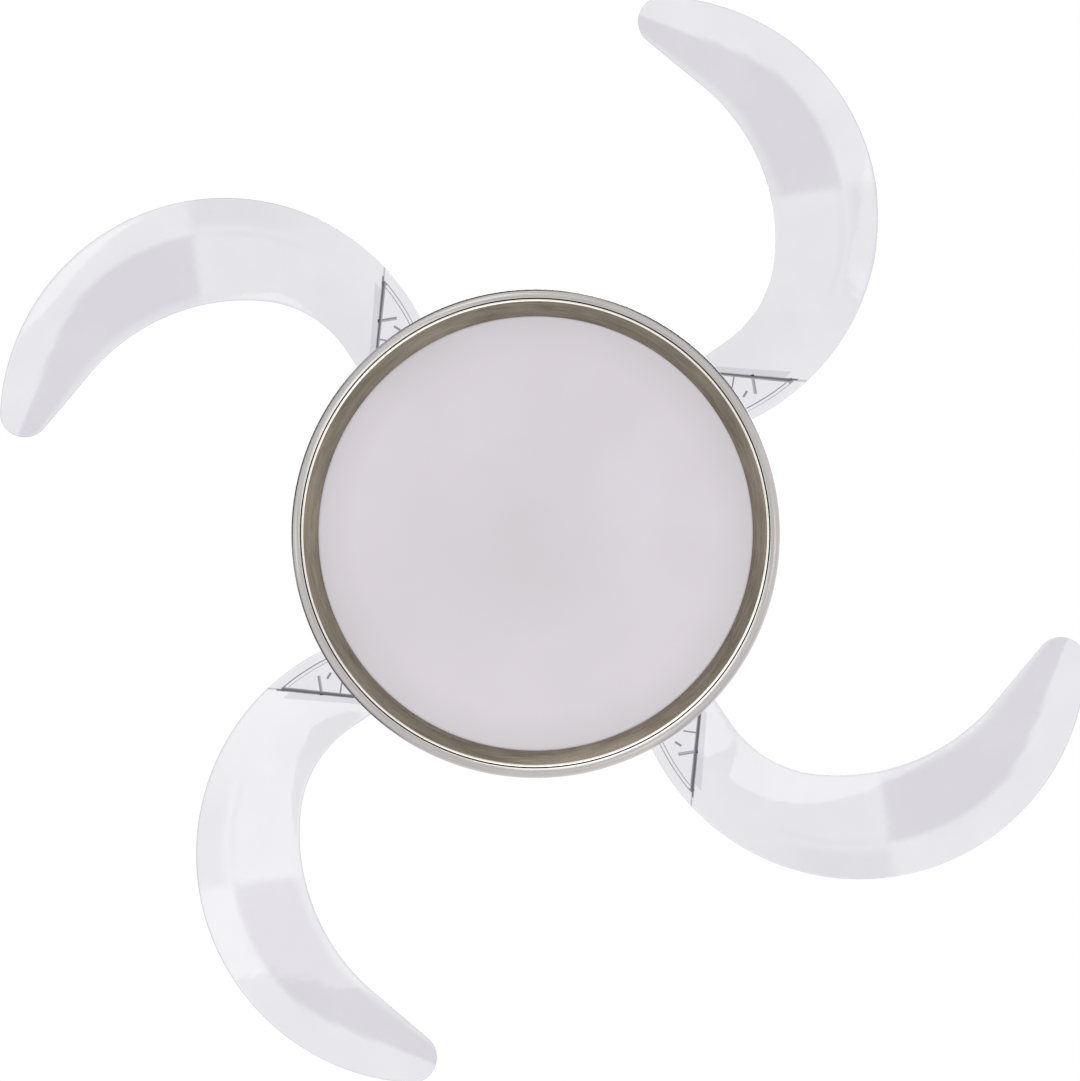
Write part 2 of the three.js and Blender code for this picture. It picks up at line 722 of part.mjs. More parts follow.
// Centre line of a return spring: a foot in the tray, the curls, and a straight end.
function springPath() {
  const footZ = trayBottomZ + trayThick / 2;
  const points = [new THREE.Vector3(...polar(springRadius, springFootAngle), footZ)];
  for (let i = 0; i <= springTurns * springSteps; i += 1) {
    const turns = i / springSteps;
    const [x, y] = polar(springRadius, springFootAngle + 360 * turns);
    points.push(new THREE.Vector3(x, y, springFootZ + springPitch * turns));
  }
  return points;
}

// One unbroken tube through the given points. The side vector at a point is any that
// isn't along the path there.
function tube(points, radius, sides, sideAt) {
  const vertices = [];
  const faces = [];
  points.forEach((point, i) => {
    const ahead = points[Math.min(i + 1, points.length - 1)].clone();
    const along = ahead.sub(points[Math.max(i - 1, 0)]).normalize();
    const across = new THREE.Vector3().crossVectors(along, sideAt(point)).normalize();
    const upright = new THREE.Vector3().crossVectors(across, along);
    for (let k = 0; k < sides; k += 1) {
      const turn = (2 * Math.PI * k) / sides;
      const corner = point.clone();
      corner.addScaledVector(upright, radius * Math.cos(turn));
      corner.addScaledVector(across, radius * Math.sin(turn));
      vertices.push(...corner);
    }
  });
  const last = (points.length - 1) * sides;
  for (let i = 0; i < last; i += sides) {
    for (let k = 0; k < sides; k += 1) {
      const next = (k + 1) % sides;
      faces.push(i + k, i + sides + next, i + next);
      faces.push(i + k, i + sides + k, i + sides + next);
    }
  }
  for (let k = 1; k < sides - 1; k += 1) {
    faces.push(0, k, k + 1);
    faces.push(last, last + k + 1, last + k);
  }
  return facingOut(vertices, faces);
}

// An indexed geometry whose triangles are turned to face out of the body they close.
function facingOut(vertices, faces) {
  const corner = (i) => new THREE.Vector3().fromArray(vertices, 3 * faces[i]);
  let volume = 0;
  for (let i = 0; i < faces.length; i += 3) {
    volume += corner(i).dot(corner(i + 1).cross(corner(i + 2)));
  }
  const geometry = new THREE.BufferGeometry();
  geometry.setAttribute("position", new THREE.Float32BufferAttribute(vertices, 3));
  geometry.setIndex(volume > 0 ? faces : faces.slice().reverse());
  geometry.computeVertexNormals();
  return geometry;
}

// Least free distance between neighbouring curls, measured on the path's points.
function springGap(points) {
  let least = Infinity;
  for (let i = 1; i < points.length; i += 1) {
    for (let j = i + springSteps / 2; j < points.length; j += 1) {
      least = Math.min(least, points[i].distanceTo(points[j]) - springWire);
    }
  }
  return least;
}

function addRotor(fan) {
  add(fan, "rotor_shell_upper", rotorShell(1), castAluminium());
  add(fan, "rotor_shell_lower", rotorShell(-1), castAluminium());
  add(fan, "magnet_ring", magnetRing(), darkPlastic());
  add(fan, "upper_bearing", bearing(1), steel());
  add(fan, "lower_bearing", bearing(-1), steel());
  add(fan, "blade_tray", bladeTray(), sheetAluminium());
}

// ---------------------------------------------------------------- gears
const involute = (angle) => Math.tan(angle) - angle;

// Half the angle that a tooth fills at a radius, in degrees.
function toothHalfAngle(teeth, radius) {
  const pitchRadius = (gearModule * teeth) / 2;
  const baseRadius = pitchRadius * Math.cos(rad(pressureAngle));
  const local = Math.acos(Math.min(1, baseRadius / radius));
  const half = Math.PI / (2 * teeth) + involute(rad(pressureAngle)) - involute(local);
  return THREE.MathUtils.radToDeg(half - toothPlay / radius);
}

// Corners of one tooth about a direction, from root to tip and back to the root.
function tooth(teeth, direction) {
  const pitchRadius = (gearModule * teeth) / 2;
  const levels = [pitchRadius - dedendum * gearModule, pitchRadius + gearModule];
  const up = levels.map((r) => polar(r, direction - toothHalfAngle(teeth, r)));
  const down = levels.map((r) => polar(r, direction + toothHalfAngle(teeth, r)));
  return [...up, ...down.reverse()];
}

// Ring gear with teeth only where a blade's gear meets it.
function syncRing() {
  const pitch = 360 / ringTeeth;
  const turn = (foldAngle * hubTeeth) / ringTeeth;
  const spare = spareTeeth * pitch;
  const rootRadius = ringPitchRadius - dedendum * gearModule;
  const corners = [];
  for (let i = 0; i < ringTeeth; i += 1) {
    const direction = (i + 0.5) * pitch;
    const fromPivot = direction % (360 / bladeCount);
    const beforeNext = 360 / bladeCount - fromPivot;
    const inMesh = fromPivot < spare || beforeNext < turn + spare;
    if (inMesh) corners.push(...tooth(ringTeeth, direction));
    else if (i % 4 === 0) corners.push(polar(rootRadius, direction));
  }
  const shape = outline(corners);
  shape.holes.push(new THREE.Path().absarc(0, 0, ringBore, 0, 2 * Math.PI, true));
  const bottom = trayTopZ + ringLift;
  return extruded(shape, bottom, bottom + ringThick, wideSides / 2).rotateZ(rad(pivotAngle));
}

// Gear sector of a blade, about the pivot. The fan's axis lies at 180 degrees when the
// blade is folded and at 180 less the fold angle when it is out.
function hubOutline() {
  const pitch = 360 / hubTeeth;
  const first = 180 - foldAngle;
  const corners = [];
  const count = Math.ceil(foldAngle / pitch) + 3;
  for (let i = -1; i < count - 1; i += 1) corners.push(...tooth(hubTeeth, first + i * pitch));
  const from = first + (count - 1) * pitch;
  const to = first - 2 * pitch + 360;
  corners.push(...arc(0, 0, hubRadius, from, to, holeSides));
  return outline(corners);
}

function rootScrewHoles(bottom, top) {
  return rootScrewAngles.map((angle) => {
    const hole = ring(0, rootScrewRadius + seatGap, bottom, top, screwSides);
    return hole.translate(...polar(rootScrewOffset, angle), 0);
  });
}

function bladeHub() {
  const bottom = trayTopZ + ringLift;
  const top = rootZ - seatGap;
  const screwFloorZ = top - rootScrewGrip - seatGap;
  const gear = extruded(hubOutline(), bottom, top);
  const below = bottom - bite;
  const bore = ring(0, sleeveInner, below, top + bite, postSides);
  const pocket = ring(sleeveOuter, pocketRadius, below, bottom + pocketDepth, postSides);
  return cutFrom(gear, [bore, pocket, ...rootScrewHoles(screwFloorZ, top + bite)]);
}

// ---------------------------------------------------------------- blades
// Plan geometry in the frame of a folded blade: origin on the fan's axis, pivot on +X,
// blade running clockwise, so a point at an angle along the blade has that bearing, negated.
const along = (radius, angle) => polar(radius, -angle);

// Distance along the ray at an angle to a circle: its far crossing, or its near one.
function rayToCircle(angle, [centreX, centreY], radius, far) {
  const [dirX, dirY] = along(1, angle);
  const middle = dirX * centreX + dirY * centreY;
  const rest = middle ** 2 - centreX ** 2 - centreY ** 2 + radius ** 2;
  const half = Math.sqrt(Math.max(0, rest));
  return far ? middle + half : middle - half;
}

function rayToLine(angle, [ax, ay], [bx, by]) {
  const [dirX, dirY] = along(1, angle);
  const lineX = bx - ax;
  const lineY = by - ay;
  return (ax * lineY - ay * lineX) / (dirX * lineY - dirY * lineX);
}

// The touching points of the line that runs between two circles, crossing from one side
// to the other. Side picks one of the two such lines.
function crossingTangent([ax, ay], radiusA, [bx, by], radiusB, side) {
  const bearing = Math.atan2(by - ay, bx - ax);
  const reach = Math.acos((radiusA + radiusB) / Math.hypot(bx - ax, by - ay));
  const turn = THREE.MathUtils.radToDeg(bearing + side * reach);
  const [touchX, touchY] = polar(1, turn);
  return [
    [ax + radiusA * touchX, ay + radiusA * touchY],
    [bx - radiusB * touchX, by - radiusB * touchY],
  ];
}

const angleOf = ([x, y]) => {
  const angle = -THREE.MathUtils.radToDeg(Math.atan2(y, x));
  return angle < -90 ? angle + 360 : angle;
};

const pivotPoint = [pivotRadius, 0];
const tipCentre = along(bladeArc - tipRadius, tipAngle);
const rootInnerCentre = along(rootInnerOffset, rootInnerBearing);
const joinDirection = along(1, innerJoinBearing);
const midInnerCentre = rootInnerCentre.map(
  (value, axis) => value - (midInnerRadius - rootInnerRadius) * joinDirection[axis]);
const [rootArcStart, rootEndTouch] = crossingTangent(
  rootInnerCentre, rootInnerRadius, pivotPoint, rootEndRadius, -1);
const [midArcEnd, tipTouch] = crossingTangent(
  midInnerCentre, midInnerRadius, tipCentre, tipRadius, 1);
const joinPoint = rootInnerCentre.map(
  (value, axis) => value + rootInnerRadius * joinDirection[axis]);
const rootEndAngle = -THREE.MathUtils.radToDeg(Math.asin(rootEndRadius / pivotRadius));
const tipEndAngle = tipAngle
  + THREE.MathUtils.radToDeg(Math.asin(tipRadius / (bladeArc - tipRadius)));

function innerRadius(angle) {
  if (angle < angleOf(rootEndTouch)) return rayToCircle(angle, pivotPoint, rootEndRadius, false);
  if (angle < angleOf(rootArcStart)) return rayToLine(angle, rootEndTouch, rootArcStart);
  if (angle < angleOf(joinPoint)) return rayToCircle(angle, rootInnerCentre, rootInnerRadius, true);
  if (angle < angleOf(midArcEnd)) return rayToCircle(angle, midInnerCentre, midInnerRadius, true);
  if (angle < angleOf(tipTouch)) return rayToLine(angle, midArcEnd, tipTouch);
  return rayToCircle(angle, tipCentre, tipRadius, false);
}

function outerRadius(angle) {
  if (angle < 0) return rayToCircle(angle, pivotPoint, rootEndRadius, true);
  if (angle < tipAngle) return bladeArc;
  return rayToCircle(angle, tipCentre, tipRadius, true);
}

// Height of the blade's underside past the step, above the root plate's underside.
function bladeLift(x, y, share) {
  const angle = angleOf([x, y]);
  const pitched = Math.tan(rad(bladePitch)) * (bladeArc - edgeRibInset - Math.hypot(x, y));
  const risen = (bladeRise * Math.max(0, angle - wallOuter)) / 90;
  const built = THREE.MathUtils.smoothstep(angle, wallInner, wallInner + camberReach);
  const fade = 1 - THREE.MathUtils.smoothstep(angle, tipAngle - camberReach, tipEndAngle);
  const bowed = bladeCamber * built * fade * (1 - (2 * share - 1) ** 2);
  return pitched + risen + bowed;
}

// The rows of the blade's grid: angles of their outer and inner ends, and whether they
// belong to the flat root plate. Rows crowd together at the round ends.
function bladeGrid() {
  const rows = [];
  for (let i = 0; i <= rootRows; i += 1) {
    const share = 1 - Math.cos((Math.PI / 2) * (i / rootRows));
    rows.push({
      outer: THREE.MathUtils.lerp(rootEndAngle, wallOuter, share),
      inner: THREE.MathUtils.lerp(rootEndAngle, wallInner, share),
      flat: true,
    });
  }
  const lean = THREE.MathUtils.radToDeg(wallLean / bladeArc);
  for (let i = 0; i <= bladeRows; i += 1) {
    const share = Math.sin((Math.PI / 2) * (i / bladeRows));
    rows.push({
      outer: THREE.MathUtils.lerp(wallOuter + lean, tipEndAngle, share),
      inner: THREE.MathUtils.lerp(wallInner + lean, tipEndAngle, share),
      flat: false,
    });
  }
  return rows;
}

// Corners across one row. The upper face's step stands one thickness nearer the root.
function rowPoints(row, upper) {
  const nearStep = Math.abs(row.outer - wallOuter) < 1;
  const shift = upper && nearStep ? THREE.MathUtils.radToDeg(bladeThick / bladeArc) : 0;
  const outer = along(outerRadius(row.outer - shift), row.outer - shift);
  const inner = along(innerRadius(row.inner - shift), row.inner - shift);
  return Array.from({ length: bladeColumns + 1 }, (_, i) => {
    const share = i / bladeColumns;
    const x = THREE.MathUtils.lerp(outer[0], inner[0], share);
    const y = THREE.MathUtils.lerp(outer[1], inner[1], share);
    const lift = row.flat ? 0 : bladeLift(x, y, share);
    return [x - pivotRadius, y, rootZ + lift + (upper ? bladeThick : 0)];
  });
}

// The blade's sheet as a closed grid of an upper and a lower face.
function bladeSheet() {
  const rows = bladeGrid();
  const width = bladeColumns + 1;
  const lowerStart = rows.length * width;
  const vertices = [];
  for (const upper of [true, false]) {
    for (const row of rows) vertices.push(...rowPoints(row, upper).flat());
  }
  const faces = [];
  const quad = (a, b, c, d) => faces.push(a, b, c, a, c, d);
  for (let i = 0; i < rows.length - 1; i += 1) {
    for (let k = 0; k < bladeColumns; k += 1) {
      const a = i * width + k;
      const b = a + width;
      quad(a, b, b + 1, a + 1);
      quad(lowerStart + a + 1, lowerStart + b + 1, lowerStart + b, lowerStart + a);
    }
    const outer = i * width;
    const inner = outer + bladeColumns;
    quad(lowerStart + outer, lowerStart + outer + width, outer + width, outer);
    quad(inner, inner + width, lowerStart + inner + width, lowerStart + inner);
  }
  return facingOut(vertices, faces);
}

// A straight rib on the root plate between two points, in plan from the pivot.
function straightRib([ax, ay], [bx, by]) {
  const length = Math.hypot(bx - ax, by - ay);
  const rib = box(length, ribWidth, ribHeight + bite, 0, 0, rootZ + bladeThick - bite);
  rib.rotateZ(Math.atan2(by - ay, bx - ax));
  return rib.translate((ax + bx) / 2, (ay + by) / 2, 0);
}

// The curved rib that follows the outer edge of the root plate up to the step.
function edgeRib() {
  const outer = bladeArc - edgeRibInset;
  const from = -wallOuter + edgeRibEnd;
  const to = -wallInner;
  const corners = [
    ...arc(0, 0, outer, from, to, edgeRibSteps),
    ...arc(0, 0, outer - ribWidth, to, from, edgeRibSteps),
  ];
  const faceZ = rootZ + bladeThick;
  const rib = extruded(outline(corners), faceZ - bite, faceZ + ribHeight);
  return rib.translate(-pivotRadius, 0, 0);
}

// The sheet with the root's stiffening ribs: one along the edge, a stub off the step and
// a short tick between the stub and the pivot. The pivot's bore and screw holes are cut.
function blade() {
  const below = rootZ - bite;
  const above = rootZ + bladeThick + bite;
  const ribs = [edgeRib(), straightRib(...stubRib), straightRib(...tickRib)];
  const bore = ring(0, sleeveInner, below, above, postSides);
  return joined(bladeSheet(), ribs, [bore, ...rootScrewHoles(below, above)]);
}

// Everything that stands at one pivot, and the blade that swings about it.
function addBlades(fan) {
  const post = pivotPost();
  const outward = ({ x, y }) => new THREE.Vector3(x, y, 0);
  const spring = tube(springPath(), springWire / 2, springSides, outward);
  const hub = bladeHub();
  const sheet = blade();
  const screwLength = bladeThick + 2 * seatGap + rootScrewGrip;
  for (let i = 0; i < bladeCount; i += 1) {
    const number = i + 1;
    const spoke = subgroup(fan);
    spoke.rotation.z = rad(pivotAngle + (360 / bladeCount) * i);
    const pivot = subgroup(spoke);
    pivot.position.x = pivotRadius;
    add(pivot, `pivot_post_${number}`, post, steel());
    add(pivot, `return_spring_${number}`, spring, springSteel());
    const swing = subgroup(pivot);
    swing.rotation.z = rad(foldAngle);
    add(swing, `blade_${number}`, sheet, clearPlastic());
    add(swing, `blade_hub_${number}`, hub, nylon());
    for (const [index, angle] of rootScrewAngles.entries()) {
      const piece = screw(rootScrewRadius, screwLength, rootScrewHead, rootScrewHeadThick);
      const [x, y] = polar(rootScrewOffset, angle);
      const mesh = add(swing, `root_screw_${number}_${index + 1}`, piece, steel());
      mesh.position.set(x, y, rootZ + bladeThick + seatGap);
    }
  }
}

// ---------------------------------------------------------------- light
function trimScrewHoles(bottom, top) {
  return trimScrewAngles.map((angle) => {
    const hole = ring(0, rootScrewRadius + seatGap, bottom, top, screwSides);
    return hole.translate(...polar(trimScrewRing, angle), 0);
  });
}

// Still plate over the light, held on the shaft between its foot and the nut.
function lightPan() {
  const hole = shaftRadius + seatGap;
  const rimZ = panTopZ - panRim;
  const pan = turned([
    [hole, panTopZ], [panRadius, panTopZ], [panRadius, rimZ],
    [panRadius - panThick, rimZ], [panRadius - panThick, panBottomZ], [hole, panBottomZ],
  ], wideSides);
  return cutFrom(pan, trimScrewHoles(panBottomZ - bite, panTopZ + bite));
}

// Outer ring of the light: a flange under the pan, the side wall, a rounded outer face
// down to the lip and a slope up to the light's opening, with a ledge behind it.
function trimRing() {
  const flangeTop = panBottomZ - seatGap;
  const flangeOuter = panRadius - panThick - seatGap;
  const flangeInner = flangeOuter - trimFlange;
  const webZ = panTopZ - panRim - webDrop;
  const ledgeZ = lipZ + innerRise;
  const ledgeOuter = lightOpening + ledgeWidth;
  const slopeWidth = lipRadius - lipFlat - lightOpening;
  const ledgeFoot = ledgeZ - (innerRise * ledgeWidth) / slopeWidth + trimWall;
  return cutFrom(turned([
    [flangeInner, flangeTop], [flangeOuter, flangeTop], [flangeOuter, webZ],
    [drumRadius - trimWall, webZ], [drumRadius - trimWall, panTopZ], [drumRadius, panTopZ],
    ...bevel(0), [lipRadius - lipFlat, lipZ],
    [lightOpening, ledgeZ], [lightOpening, ledgeZ + ledgeThick],
    [ledgeOuter, ledgeZ + ledgeThick], [ledgeOuter, ledgeFoot],
    ...bevel(trimWall).reverse(), [drumRadius - trimWall, webZ - trimWall],
    [flangeOuter - trimWall, webZ - trimWall],
    [flangeOuter - trimWall, flangeTop - trimWall], [flangeInner, flangeTop - trimWall],
  ], wideSides), trimScrewHoles(flangeTop - 2 * trimWall, flangeTop + bite));
}

// The rounded outer face from the side wall to the lip, a given distance inside it.
function bevel(inset) {
  const shoulderZ = lipZ + outerBevel;
  const reach = drumRadius - lipRadius;
  return Array.from({ length: bevelSteps + 1 }, (_, i) => {
    const turn = rad((90 * i) / bevelSteps);
    const out = (reach - inset) * Math.cos(turn);
    return [lipRadius + out, shoulderZ - (outerBevel - inset) * Math.sin(turn)];
  });
}

// Opal cover, slightly domed, resting on the trim ring's ledge.
function diffuser() {
  const seatZ = lipZ + innerRise + ledgeThick + seatGap;
  const bowl = lightOpening - runGap;
  const rim = bowl + diffuserFlange;
  const dome = (height) => Array.from({ length: diffuserSteps + 1 }, (_, i) => {
    const r = bowl * (1 - i / diffuserSteps);
    return [r, seatZ + height - diffuserDome * (1 - (r / bowl) ** 2)];
  });
  return turned([
    ...dome(diffuserThick).reverse(), [rim, seatZ + diffuserThick], [rim, seatZ], ...dome(0),
  ], wideSides);
}

function ledBoard() {
  const top = panBottomZ - seatGap;
  const bottom = top - boardThick;
  const height = ledThick + boardThick / 2;
  const leds = ledRows.flatMap(([inset, count]) => Array.from({ length: count }, (_, i) => {
    const led = box(ledSize, ledSize, height, boardInner + inset, 0, bottom - ledThick);
    return led.rotateZ((2 * Math.PI * i) / count);
  }));
  return joined(ring(boardInner, boardOuter, bottom, top, wideSides), leds);
}

function shaftNut() {
  const top = panBottomZ - seatGap;
  const hexagon = outline(Array.from({ length: 6 }, (_, i) => polar(nutRadius, 60 * i)));
  const hole = ring(0, shaftRadius + seatGap, top - nutThick - bite, top + bite);
  return cutFrom(extruded(hexagon, top - nutThick, top), [hole]);
}

// Mains cable: down the rod beside its pins, then through the hollow shaft and round to
// the driver of the light.
function supplyCable() {
  const crossTopZ = yokePinZ - pinRadius - seatGap;
  const crossBottomZ = rodBottomZ - seatGap;
  const crossing = Array.from({ length: crossingSteps + 1 }, (_, i) => {
    const share = i / crossingSteps;
    const y = (cableLane * (1 + Math.cos(Math.PI * share))) / 2;
    return [y, THREE.MathUtils.lerp(crossTopZ, crossBottomZ, share)];
  });
  const bendTopZ = panBottomZ - nutThick - shaftTail;
  const bend = arc(cableBend, bendTopZ, cableBend, 180, 270, bendSteps);
  const endY = driverOffset - driverSize[1] / 2 - seatGap;
  const end = [endY, bendTopZ - cableBend];
  const route = [[cableLane, rodTopZ + cableTail], ...crossing, ...bend, end];
  const points = route.map(([y, z]) => new THREE.Vector3(0, y, z));
  return tube(points, cableRadius, cableSides, () => new THREE.Vector3(1, 0, 0));
}

function addLight(fan) {
  add(fan, "light_pan", lightPan(), whitePaint());
  add(fan, "shaft_nut", shaftNut(), steel());
  add(fan, "led_board", ledBoard(), whitePaint());
  const [sizeX, sizeY, sizeZ] = driverSize;
  const driver = box(sizeX, sizeY, sizeZ, 0, driverOffset, panBottomZ - seatGap - sizeZ);
  add(fan, "led_driver", driver, whitePaint());
  add(fan, "trim_ring", trimRing(), brushedNickel());
  add(fan, "diffuser", diffuser(), opalPlastic());
  add(fan, "supply_cable", supplyCable(), darkPlastic());
  for (const [index, angle] of trimScrewAngles.entries()) {
    const length = panThick + 2 * seatGap + trimWall + screwTail;
    const piece = screw(rootScrewRadius, length, rootScrewHead, trimScrewHeadThick);
    const [x, y] = polar(trimScrewRing, angle);
    const mesh = add(fan, `trim_screw_${index + 1}`, piece, steel());
    mesh.position.set(x, y, panTopZ + seatGap);
  }
}

// ---------------------------------------------------------------- assembly
const fan = new THREE.Group();
addMount(fan);
addHanger(fan);
addStillMotor(fan);
addRotor(fan);
add(fan, "sync_ring", syncRing(), nylon());
addBlades(fan);
addLight(fan);

console.log(`least gap between spring curls: ${springGap(springPath()).toFixed(2)} mm`);

export default fan;
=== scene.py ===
"""Looks of a ceiling fan whose four clear blades swing out from the top of a round light
drum. Sizes are in millimetres and the solids' own, unless a comment says otherwise; meshes
are made in metres."""

import json
import math

import bmesh
import bpy
import numpy as np
from mathutils import Matrix, Vector
from mathutils.geometry import tessellate_polygon


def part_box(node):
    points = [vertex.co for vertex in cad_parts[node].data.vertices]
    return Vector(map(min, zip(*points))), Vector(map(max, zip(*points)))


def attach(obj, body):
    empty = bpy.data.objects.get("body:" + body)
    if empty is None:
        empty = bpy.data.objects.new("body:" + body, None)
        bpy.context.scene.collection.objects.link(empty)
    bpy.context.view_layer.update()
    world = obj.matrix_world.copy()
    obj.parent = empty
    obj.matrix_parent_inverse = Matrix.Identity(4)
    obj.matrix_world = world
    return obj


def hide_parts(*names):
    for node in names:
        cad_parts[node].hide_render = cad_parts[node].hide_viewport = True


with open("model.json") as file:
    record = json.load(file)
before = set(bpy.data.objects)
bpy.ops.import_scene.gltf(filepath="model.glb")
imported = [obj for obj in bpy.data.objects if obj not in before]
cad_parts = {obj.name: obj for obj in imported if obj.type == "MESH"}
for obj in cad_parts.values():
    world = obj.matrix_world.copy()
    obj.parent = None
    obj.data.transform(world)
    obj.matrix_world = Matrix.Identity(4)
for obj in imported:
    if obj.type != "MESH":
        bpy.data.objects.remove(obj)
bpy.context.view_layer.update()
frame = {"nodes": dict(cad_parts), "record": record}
MM = 0.001

# ---- sizes
SEAT = 0.3  # gap between pieces that rest on each other

DRUM_RADIUS = 225
LIP_INSET = 11
OPENING_INSET = 25
TRIM_WALL = 2
TRIM_FLANGE = 14
OUTER_BEVEL = 14
INNER_RISE = 13
LEDGE_WIDTH = 8
LEDGE_THICK = 1.5
BAND_RUN = 13.2  # of the inner band in plan, from the lip to the opening
LIP_HALF = 1.3  # from the lip's circle to the lip's inner corner and the groove's outer one
GROOVE_INNER = 0.2  # from the same circle to the other side of the groove
GROOVE_DEPTH = 1.1
PAN_THICK = 1
PAN_RIM = 12
DIFFUSER_THICK = 2.5
DIFFUSER_FLANGE = 5
DIFFUSER_DOME = 6

CANOPY_RADIUS = 72
CANOPY_WALL = 1.2
CANOPY_SKIRT = 30
CANOPY_HOLE = 29
CANOPY_NECK = 37
BALL_RADIUS = 27
ROD_RADIUS = 13.35
ROD_WALL = 2.85
COVER_WALL = 1.2
COVER_NECK_HEIGHT = 12
COUPLING_RADIUS = 44
MOTOR_RADIUS = 104
MOTOR_ROUND = 14
SHAFT_RADIUS = 10
SHAFT_CLEARANCE = 2.5
ROTOR_RADIUS = 80
ROTOR_WALL = 4
BEARING_RADIUS = 21
BEARING_WIDTH = 12

TRAY_RADIUS = 205
TRAY_HOLE = 22
GEAR_MODULE = 2
HUB_TEETH = 37
RING_TEETH = 148
PRESSURE_ANGLE = 20
TOOTH_PLAY = 0.15
DEDENDUM = 1.25  # depth of a tooth inside the pitch circle, in modules
SPARE_TEETH = 1.1  # of the ring past each end of its mesh
RING_BORE = 132
RING_THICK = 6
RING_LIFT = 0.8  # of the gears above the tray
GUIDE_RADIUS = 5
GUIDE_COUNT = 6
GUIDE_GAP = 0.9
HUB_RADIUS = 26
POCKET_RADIUS = 15
POCKET_DEPTH = 8.5
POST_RADIUS = 6
POST_HEAD_RADIUS = 12
POST_HEAD_THICK = 4
RIVET_RADIUS = 4
RIVET_HEAD_RADIUS = 7
SLEEVE_WALL = 2
SCREW_RADIUS = 2
SCREW_HEAD = 4
HEAD_HEIGHT = 2.4  # of the root and canopy screws
TRIM_HEAD_HEIGHT = 1.4
CROSS_WIDTH = 0.84
ROOT_SCREW_OFFSET = 20.5
ROOT_SCREW_ANGLES = (-40, 40)
SPRING_WIRE = 1.2
SPRING_RADIUS = 11.4
SPRING_TURNS = 3
SPRING_PITCH = 1.9

BLADE_COUNT = 4
PIVOT_ANGLE = -130.6  # of blade 1's pivot about the fan's axis
FOLD_ANGLE = 120
BLADE_ARC = 216
BLADE_THICK = 2.8
TIP_RADIUS = 22.7
TIP_ANGLE = 165.7
ROOT_INNER_RADIUS = 111.4
ROOT_INNER_OFFSET = 29.1
ROOT_INNER_BEARING = 5.2
MID_INNER_RADIUS = 195.4
INNER_JOIN_BEARING = 72.3
WALL_OUTER = 32.1  # the step across the root, in degrees; nearer the pivot than the solids'
WALL_INNER = 1.3
WALL_LEAN = 1.8
BLADE_PITCH = 10
BLADE_RISE = 20
BLADE_CAMBER = 4
CAMBER_REACH = 30
RIB_HEIGHT = 6
RIB_WIDTH = 2.4
RIB_DRAFT = 0.9
RIB_ROOT = 1  # depth of a rib inside the root plate
EDGE_RIB_INSET = 9
EDGE_RIB_END = 2
STUB_RIB = ((-18.5, -66.8), (0.1, -66.4))  # ends of the small ribs' middle lines
STUB_WIDTH = 3.2
TICK_RIB = ((-4.3, -59.3), (1.0, -54.4))
SIDE_RIB = ((-20.5, -49.8), (-8.5, -45.6))
SIDE_WIDTH = 1.6

RING_PITCH_RADIUS = GEAR_MODULE * RING_TEETH / 2
HUB_PITCH_RADIUS = GEAR_MODULE * HUB_TEETH / 2
PIVOT_RADIUS = RING_PITCH_RADIUS + HUB_PITCH_RADIUS
ROOT_END_RADIUS = BLADE_ARC - PIVOT_RADIUS
LIP_RADIUS = DRUM_RADIUS - LIP_INSET
OPENING = DRUM_RADIUS - OPENING_INSET
DRUM_BORE = DRUM_RADIUS - TRIM_WALL
PAN_RADIUS = DRUM_BORE - SEAT
PLATE_EDGE = BLADE_ARC - EDGE_RIB_INSET

BOXES = {node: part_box(node) for node in frame["nodes"]}


def top(node):
    return BOXES[node][1].z / MM


def foot(node):
    return BOXES[node][0].z / MM


def span(node):
    return foot(node), top(node)


PLATE_FOOT = top("blade_hub_1") + SEAT  # the blades' root plates
PLATE_TOP = PLATE_FOOT + BLADE_THICK
TRAY_TOP = top("sync_ring") - RING_THICK - RING_LIFT  # without the tray's pegs

BODY_OF = {node: body for body, nodes in frame["record"]["behaviour"]["bodies"].items()
           for node in nodes}
SLOT_OF = {part["node"]: part["material_slot"] for part in frame["record"]["subparts"]}


# ---- node helpers
class Nodes:
    """The node tree of a material or of the world."""

    def __init__(self, owner):
        owner.use_nodes = True
        self.tree = owner.node_tree
        self.tree.nodes.clear()

    def add(self, kind, inputs=None, **settings):
        node = self.tree.nodes.new("ShaderNode" + kind)
        for key, value in settings.items():
            setattr(node, key, value)
        for key, value in (inputs or {}).items():
            if isinstance(value, bpy.types.NodeSocket):
                self.tree.links.new(value, node.inputs[key])
            else:
                node.inputs[key].default_value = value
        return node

    def out(self, *kind, **settings):
        """The first output of a new node."""
        return self.add(*kind, **settings).outputs[0]

    def math(self, operation, a, b):
        return self.out("Math", {0: a, 1: b}, operation=operation)

    def remap(self, value, low, high, to_low=0, to_high=1):
        return self.out("MapRange", {0: value, 1: low, 2: high, 3: to_low, 4: to_high})


